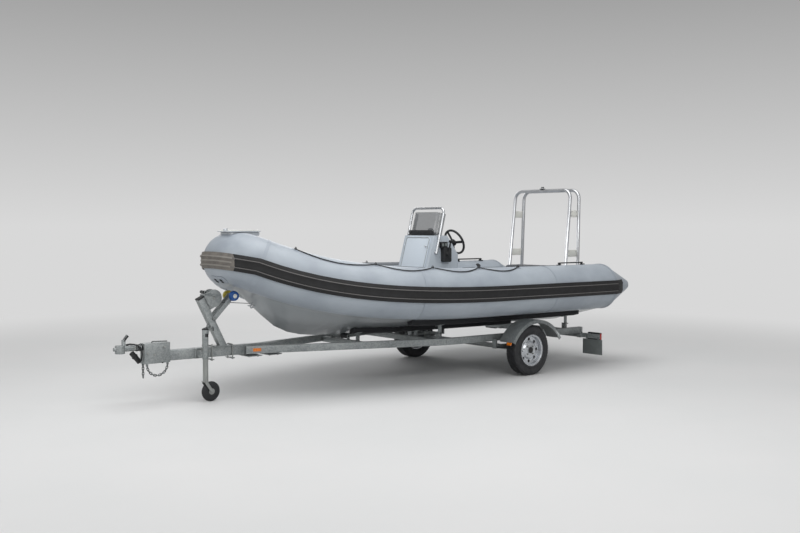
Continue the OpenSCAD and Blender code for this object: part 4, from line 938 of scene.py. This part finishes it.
def wheel(side, word):
    body = "wheel_" + word
    centre = middle("tyre_" + word)
    low, high = box("tyre_" + word)
    skin("tyre_" + word, "tyre", smooth=40, body=body, change=tuck_tread)
    skin("rim_" + word, "rim", smooth=35, bevel=0.0015, body=body)
    out = Vector((0, side, 0))
    # One tread block, copied round the tyre in five rows.
    clear()
    bpy.ops.mesh.primitive_cube_add(size=1, location=(0, 0, 0))
    block_shape = bpy.context.object
    block_shape.scale = (0.024, 0.020, 0.0080)
    bpy.ops.object.transform_apply(location=True, rotation=True, scale=True)
    parts = []
    tread_r = (high.z - low.z) / 2
    for row, offset in enumerate((-0.052, -0.026, 0, 0.026, 0.052)):
        drop = 0.0009 if abs(offset) > 0.04 else 0.0
        for k in range(60):
            turn = 2 * pi * (k + 0.5 * (row % 2)) / 60
            twin = block_shape.copy()
            twin.data = block_shape.data.copy()
            bpy.context.scene.collection.objects.link(twin)
            slant = Matrix.Rotation(radians(18 * (-1) ** row), 4, "Z")
            spin = Matrix.Rotation(turn, 4, "Y")
            twin.data.transform(Matrix.Translation(centre) @ spin @ Matrix.Translation((0, offset, tread_r - 0.0042 - drop)) @ slant)
            parts.append(twin)
    bpy.data.objects.remove(block_shape)
    tread = join("tread_" + word, parts)
    settle("tread_" + word, "tyre", smooth=20)
    carry(tread, body)
    rings = [ring("bead", centre + Vector((0, k * 0.0745, 0)), Y, r, 0.0022, "tyre", 72, 8)
             for k in (-1, 1) for r in (0.205, 0.246)]
    carry(join("sidewall_rings_" + word, rings), body)
    face = centre + out * 0.034
    hub = turned("hub_cap_" + word, centre + out * 0.046, out, ((-0.03, 0.038), (0.004, 0.038), (0.010, 0.034), (0.014, 0.020)),
                 "black", 40, bevel=0.001)
    carry(hub, body)
    nuts = []
    for k in range(4):
        a = pi / 4 + k * pi / 2
        nuts.append(rod("nut", centre + out * 0.038 + Vector((0.062 * cos(a), 0, 0.062 * sin(a))),
                        centre + out * 0.054 + Vector((0.062 * cos(a), 0, 0.062 * sin(a))), 0.011, "zinc", 6, 0.0015, 0.009))
    carry(join("wheel_nuts_" + word, nuts), body)
    # Black ring behind the rim's holes: painted shade, so the holes look dark like the shaded inside of the wheel.
    shade = turned("rim_shade_" + word, centre + out * 0.008, out, ((0, 0.150), (0.0015, 0.150), (0.0015, 0.096), (0, 0.096)), "black", 64)
    carry(shade, body)
    lip = ring("rim_lip_" + word, centre + out * 0.0705, Y, 0.1765, 0.0035, "rim", 72, 8)
    carry(lip, body)
    valve = rod("valve_" + word, centre + out * 0.03 + Vector((0.150, 0, 0)), centre + out * 0.064 + Vector((0.148, 0, 0)), 0.004,
                "rubber", 12, 0.001)
    carry(valve, body)


wheel(1, "port")
wheel(-1, "starboard")


def frame_z(x):
    return 0.458 + 0.0115 * x


def suspension():
    parts = []
    for side in (1, -1):
        for x in (-0.045, 0.045):
            y0, y1 = side * (0.760 - 0.030), side * (0.760 + 0.030)
            parts.append(bent("u_bolt", [at(x, y0, 0.365), at(x, y0, 0.258), at(x, y1, 0.258), at(x, y1, 0.365)], 0.006, "zinc", 0.02))
        for k in range(3):
            half = 0.26 - 0.07 * k
            parts.append(block("leaf", at(0, side * 0.760, 0.3128 - 0.006 - 0.0065 * k + 0.0005), (2 * half, 0.044, 0.006),
                               "dark_steel", bevel=0.001))
    carry(join("spring_hardware", parts))
    shock = []
    for side in (1, -1):
        shock.append(turned("drum", at(0, side * 0.905, 0.289), (0, side, 0), ((0, 0.098), (0.004, 0.100), (0.030, 0.100), (0.034, 0.090)),
                            "dark_steel", 40))
    carry(join("brake_drums", shock))
    heads = []
    for side in (1, -1):
        for x in (-0.135, 0.145):
            z = frame_z(x) - 0.046 + 0.008
            heads += [at(x, side * 0.760, z), at(x, side * 0.870, z)]
    bolts("fender_bolts", heads, Z, 0.008)
    mounts = []
    for side in (1, -1):
        for x in (-0.135, 0.145):
            for z in (0.47, 0.52):
                mounts.append(at(x, side * 0.9135, z))
    bolts("stay_bolts_port", [p for p in mounts if p.y > 0], Y, 0.007)
    bolts("stay_bolts_starboard", [p for p in mounts if p.y < 0], -Y, 0.007)


suspension()


def u_bolt(x, top, half, drop, word):
    """A U-bolt over the drawbar, with its plate and nuts below."""
    legs = bent("u", [at(x, half, drop), at(x, half, top), at(x, -half, top), at(x, -half, drop)], 0.006, "zinc", 0.02)
    plate = block("u_plate", at(x, 0, drop + 0.012), (0.036, 2 * half + 0.040, 0.006), "galvanised", bevel=0.001)
    nuts = [rod("nut", at(x, y, drop), at(x, y, drop + 0.009), 0.010, "zinc", 6, 0.001) for y in (-half, half)]
    return carry(join("u_bolt_" + word, [legs, plate] + nuts))


def drawbar_fittings():
    for x, word in ((3.57, "front"), (3.335, "rear")):
        top = frame_z(x) + 0.018 + 0.0145
        u_bolt(x, top, 0.049, top - 0.150, word)
    # Plates and bolts where the rails meet the drawbar.
    low, high = box("drawbar")
    parts = []
    for x in (2.86, 3.10):
        z = frame_z(x) + 0.018
        parts.append(block("gusset", at(x, 0, z - 0.118), (0.16, 0.22, 0.008), "galvanised", bevel=0.002))
    carry(join("nose_plates", parts))
    bolts("nose_bolts", [at(x, y, frame_z(x) + 0.018 - 0.122) for x in (2.81, 2.91, 3.05, 3.15) for y in (-0.07, 0.07)], -Z, 0.009)
    caps = []
    for side in (1, -1):
        z = frame_z(-1.29)
        caps.append(block("cap", at(-1.290, side * 0.700, z - 0.0375), (0.006, 0.046, 0.070), "rubber", bevel=0.002))
    carry(join("rail_caps", caps))


drawbar_fittings()


def crossmember_fittings():
    places = []
    for x in (1.88, 1.04):
        for y in (0.20, 0.26):
            places.append(at(x, y, frame_z(x) - 0.015))
            places.append(at(x, -y, frame_z(x) - 0.015))
    bolts("cross_bolts", places, Z, 0.008)
    clamps = []
    for side in (1, -1):
        for x in (1.04, -1.10):
            z = frame_z(x)
            clamps.append(block("clamp", at(x + 0.030, side * 0.640, z + 0.022), (0.008, 0.064, 0.075), "galvanised", bevel=0.0015))
            clamps.append(bent("wire", [at(x + 0.038, side * 0.622, z + 0.050), at(x - 0.034, side * 0.622, z + 0.050),
                                        at(x - 0.034, side * 0.658, z + 0.050), at(x + 0.038, side * 0.658, z + 0.050)], 0.005, "zinc", 0.012))
    carry(join("post_clamps", clamps))
    bolts("clamp_bolts", [at(x + 0.034, side * y, frame_z(x) + z) for side in (1, -1) for x in (1.04, -1.10)
                          for y, z in ((0.622, 0.008), (0.658, 0.008))], X, 0.007)


crossmember_fittings()

POST_X, POST_LEAN = 3.425, radians(26.7)
POST_FOOT_Z = frame_z(POST_X) + 0.018


def on_post(t, off=0.0, y=0.0):
    return at(POST_X + t * sin(POST_LEAN) - off * cos(POST_LEAN), y, POST_FOOT_Z + t * cos(POST_LEAN) + off * sin(POST_LEAN))


ROLLER = (3.322, 1.016)


def winch_stand():
    # Rollers in two colours.
    low, high = box("bow_rollers")
    centre = at(ROLLER[0], 0, ROLLER[1])
    clear()
    made = []
    for side, finish, hub in ((1, "blue", "off_white"), (-1, "olive", "black")):
        start = 0.0476
        body = turned("roller", centre + Vector((0, side * start, 0)), (0, side, 0),
                      ((0, 0.046), (0.003, 0.052), (0.010, 0.0518), (0.014, 0.049), (0.018, 0.0488), (0.022, 0.0500),
                       (0.034, 0.0472), (0.041, 0.044), (0.0436, 0.038), (0.0436, 0.026), (0.036, 0.024)), finish, 48)
        carry(body, replaces=("bow_rollers",) if side > 0 else ())
        body.name = body.data.name = "bow_roller_" + ("port" if side > 0 else "starboard")
        cap = turned("roller_hub", centre + Vector((0, side * (start + 0.034), 0)), (0, side, 0),
                     ((0, 0.023), (0.006, 0.022), (0.0085, 0.014)), hub, 32)
        cap.name = cap.data.name = "roller_hub_" + ("port" if side > 0 else "starboard")
        carry(cap)
    # Winch: ratchet wheel, strap on the drum, crank grip and cover rims.
    low, high = box("winch")
    centre = on_post(0.545 - 0.060, 0.118)
    parts = [ring("rim", centre + Vector((0, k * 0.045, 0)), Y, 0.0855, 0.0028, "zinc", 56, 8) for k in (1, -1)]
    parts.append(turned("axle_nut", centre + Vector((0, 0.047, 0)), Y, ((0, 0.016), (0.008, 0.015), (0.010, 0.010)), "zinc", 6))
    parts.append(turned("axle_nut", centre - Vector((0, 0.047, 0)), -Y, ((0, 0.016), (0.008, 0.015), (0.010, 0.010)), "zinc", 6))
    carry(join("winch_rims", parts))
    gear = [turned("gear", centre + Vector((0, 0.036, 0)), Y, ((0, 0.052), (0.005, 0.052)), "dark_steel", 40)]
    for k in range(20):
        a = 2 * pi * k / 20
        gear.append(block("tooth", centre + Vector((0.055 * cos(a), 0.0385, 0.055 * sin(a))), (0.012, 0.005, 0.006), "dark_steel",
                          (0, -a, 0), 0.0008))
    carry(join("winch_gear", gear))
    coil = turned("strap_coil", centre - Vector((0, 0.023, 0)), Y, ((0, 0.046), (0.001, 0.047), (0.045, 0.047), (0.046, 0.046)), "rubber", 48)
    carry(coil)
    grip_at = centre + Vector((0.160, 0.045 + 0.027, 0.074 - 0.0))
    grip = turned("crank_grip", grip_at + Vector((0, 0.014, 0)), Y, ((-0.004, 0.0155), (0.006, 0.0165), (0.030, 0.0148), (0.060, 0.0165),
                                                                     (0.078, 0.0160), (0.081, 0.010)), "rubber", 32)
    carry(grip)
    # Bolts through the arms and the post.
    bolts("arm_bolts_port", [on_post(0.306, 0.020, 0.0475)] + [at(ROLLER[0] + 0.050, 0.0475, ROLLER[1] - 0.075)], Y, 0.008)
    bolts("arm_bolts_starboard", [on_post(0.306, 0.020, -0.0475)], -Y, 0.008)
    bolts("foot_bolts", [at(POST_X + x, y, POST_FOOT_Z + 0.0085 + 0.0115 * x) for x in (-0.09, 0.09) for y in (-0.046, 0.046)], Z, 0.008)
    lean = (0, POST_LEAN, 0)
    carry(block("post_cap", on_post(0.545 + 0.006), (0.074, 0.074, 0.016), "black", lean, 0.004))
    hook = []
    eye_low, eye_high = box("bow_eye")
    mid = (eye_low + eye_high) / 2
    hook.append(ring("hook", mid + Vector((0.010, 0, -0.012)), Y, 0.016, 0.0045, "stainless", 32, 8))
    hook.append(rod("shank", mid + Vector((0.024, 0, -0.006)), mid + Vector((0.052, 0, 0.002)), 0.006, "stainless", 16, 0.001))
    carry(join("strap_hook", hook))


winch_stand()


def jack():
    JX, JY = 3.697, 0.150
    low, high = box("jack_outer")
    cap = turned("cap", at(JX, JY, 0.715), Z, ((-0.0080, 0.0315), (-0.0065, 0.0325), (-0.002, 0.0325), (0.004, 0.0300), (0.010, 0.016)), "black", 40)
    square = block("square", at(JX, JY + 0.0315, 0.655), (0.034, 0.006, 0.034), "black", bevel=0.002)
    carry(join("jack_cap", [cap, square]), "jack_outer")
    handle = bent("jack_handle", [at(JX - 0.004, JY, 0.7285), at(JX - 0.060, JY, 0.7285), at(JX - 0.088, JY, 0.722), at(JX - 0.0885, JY, 0.690)],
                  0.0055, "black", 0.012)
    carry(handle, "jack_outer")
    knob = turned("jack_knob", at(JX - 0.083, JY, 0.7285), Z, ((-0.006, 0.006), (-0.002, 0.009), (0.002, 0.009), (0.0045, 0.006)), "rubber", 20)
    carry(knob, "jack_outer")
    clamp_z = frame_z(JX) + 0.018 - 0.050
    band = []
    for z in (clamp_z - 0.018, clamp_z + 0.018):
        band.append(ring("band", at(JX, JY, z), Z, 0.0305, 0.003, "galvanised", 40, 8))
    carry(join("jack_bands", band), "jack_outer")
    bolts("jack_clamp_bolts", [at(JX + x, JY, clamp_z + 0.030) for x in (-0.038, 0.038)], Z, 0.006, body="jack_outer")
    disc = turned("swivel_disc", at(JX + 0.0, 0.0401 + 0.0101, clamp_z), Y, ((0, 0.046), (0.0018, 0.046)), "zinc", 40)
    carry(disc)
    bolts("bracket_bolts", [at(JX + x, 0.0505, clamp_z + z) for x in (-0.050, 0.050) for z in (-0.040, 0.040)], Y, 0.006)
    hub = [turned("hub", at(JX - 0.055, JY + k * 0.025, 0.098), (0, k, 0), ((-0.004, 0.030), (0.0015, 0.030), (0.002, 0.014)), "zinc", 32) for k in (1, -1)]
    carry(join("jack_hub", hub), "jack_wheel")
    lines = [ring("line", at(JX - 0.055, JY + k * 0.0232, 0.098), Y, 0.062, 0.0015, "rubber", 48, 6) for k in (1, -1)]
    carry(join("jack_wheel_lines", lines), "jack_wheel")
    nuts = [rod("nut", at(JX - 0.055, JY + k * 0.0352, 0.098), at(JX - 0.055, JY + k * 0.0392, 0.098), 0.011, "zinc", 6, 0.001) for k in (1, -1)]
    carry(join("jack_axle_nuts", nuts), "jack_fork")


jack()


def coupler():
    low, high = box("coupler")
    neck_z = frame_z(4.170) + 0.018 + 0.045
    head_x = 4.508
    # Lever grip, bolts and small fittings.
    grip = bent("lever", [at(head_x - 0.036, 0, neck_z + 0.070), at(head_x - 0.056, 0, neck_z + 0.100), at(head_x - 0.078, 0, neck_z + 0.122)],
                0.0145, "black", 0.012)
    carry(grip)
    cup = ring("cup_lip", at(head_x, 0, neck_z - 0.041), Z, 0.0435, 0.0024, "zinc", 56, 8)
    carry(cup)
    half = 0.048
    box_front = 4.285
    places = [at(4.253, half, 0.509), at(4.183, half, 0.494), at(4.080, half, 0.560)]
    bolts("housing_bolts_port", places, Y, 0.010)
    bolts("housing_bolts_starboard", [Vector((p.x, -p.y, p.z)) for p in places], -Y, 0.010)
    bolts("neck_bolt", [at(4.371, 0.026, neck_z)], Y, 0.011)
    top = frame_z(4.170) + 0.018 + 0.080
    hook = bent("brake_lever", [at(4.195, 0.014, top + 0.001), at(4.190, 0.014, top + 0.014), at(4.120, 0.014, top + 0.012),
                                at(4.035, 0.014, top + 0.008)], 0.0055, "dark_steel", 0.012)
    carry(hook)
    band = [ring("collar", at(4.292, 0, neck_z), X, 0.0295, 0.004, "rubber", 40, 8)]
    for k in range(5):
        band.append(ring("bellows", at(4.300 + k * 0.014, 0, neck_z), X, 0.0285 + 0.003 * (k % 2), 0.0035, "rubber", 40, 8))
    carry(join("neck_bellows", band))
    stud = turned("under_stud", at(4.10, 0.044, 0.414), -Z, ((-0.004, 0.010), (0.004, 0.010), (0.008, 0.007)), "rubber", 20)
    carry(stud)


coupler()


def rear_lights():
    low, high = box("tail_lamps")
    board_low, board_high = box("light_bar")
    for side, word in ((1, "port"), (-1, "starboard")):
        y0 = side * (board_high.y - 0.190)
        y1 = side * board_high.y
        back = low.x
        parts = []
        for k, finish in enumerate(("red", "amber", "red")):
            y = y0 + (y1 - y0) * (k + 0.5) / 3
            parts.append(block("lens", (back + 0.0035, y, (low.z + high.z) / 2), (0.006, 0.056, 0.078), finish, bevel=0.003))
            parts[-1].name = "lamp_lens_%s_%d" % (word, k)
            carry(parts[-1])
        edge = block("lamp_edge_" + word, ((low.x + high.x) / 2, side * (high.y + 0.0006), (low.z + high.z) / 2),
                     (0.75 * (high.x - low.x), 0.004, 0.075), "red", bevel=0.001)
        carry(edge)
    # Black discs stand for round holes punched along the bar's front face; their black is painted shade inside the
    # holes.
    holes = [turned("hole", (board_high.x, k * 0.150, (board_low.z + board_high.z) / 2), X,
                    ((-0.002, 0.008), (0.0004, 0.008)), "black", 16) for k in range(-6, 7)]
    carry(join("bar_hole_painted_shade", holes))


rear_lights()


RAIL_SLOPE = 0.2915


def reflectors():
    amber = []
    for side in (1, -1):
        turn = radians(28)
        x = -0.050 + 0.4690 * cos(turn)
        z = 0.635 - 0.466 + 0.4690 * sin(turn)
        amber.append(block("fender_reflector", at(x, side * 1.060, z), (0.008, 0.070, 0.034), "amber", (0, -turn, 0), 0.002))
        x = 3.09
        amber.append(block("rail_reflector", at(x, side * (0.7 - (x - 1.01) * RAIL_SLOPE + 0.0275), frame_z(x) - 0.036),
                           (0.085, 0.006, 0.034), "amber", (0, 0, -side * atan2(RAIL_SLOPE, 1)), 0.002))
    carry(join("amber_reflectors", amber))


reflectors()
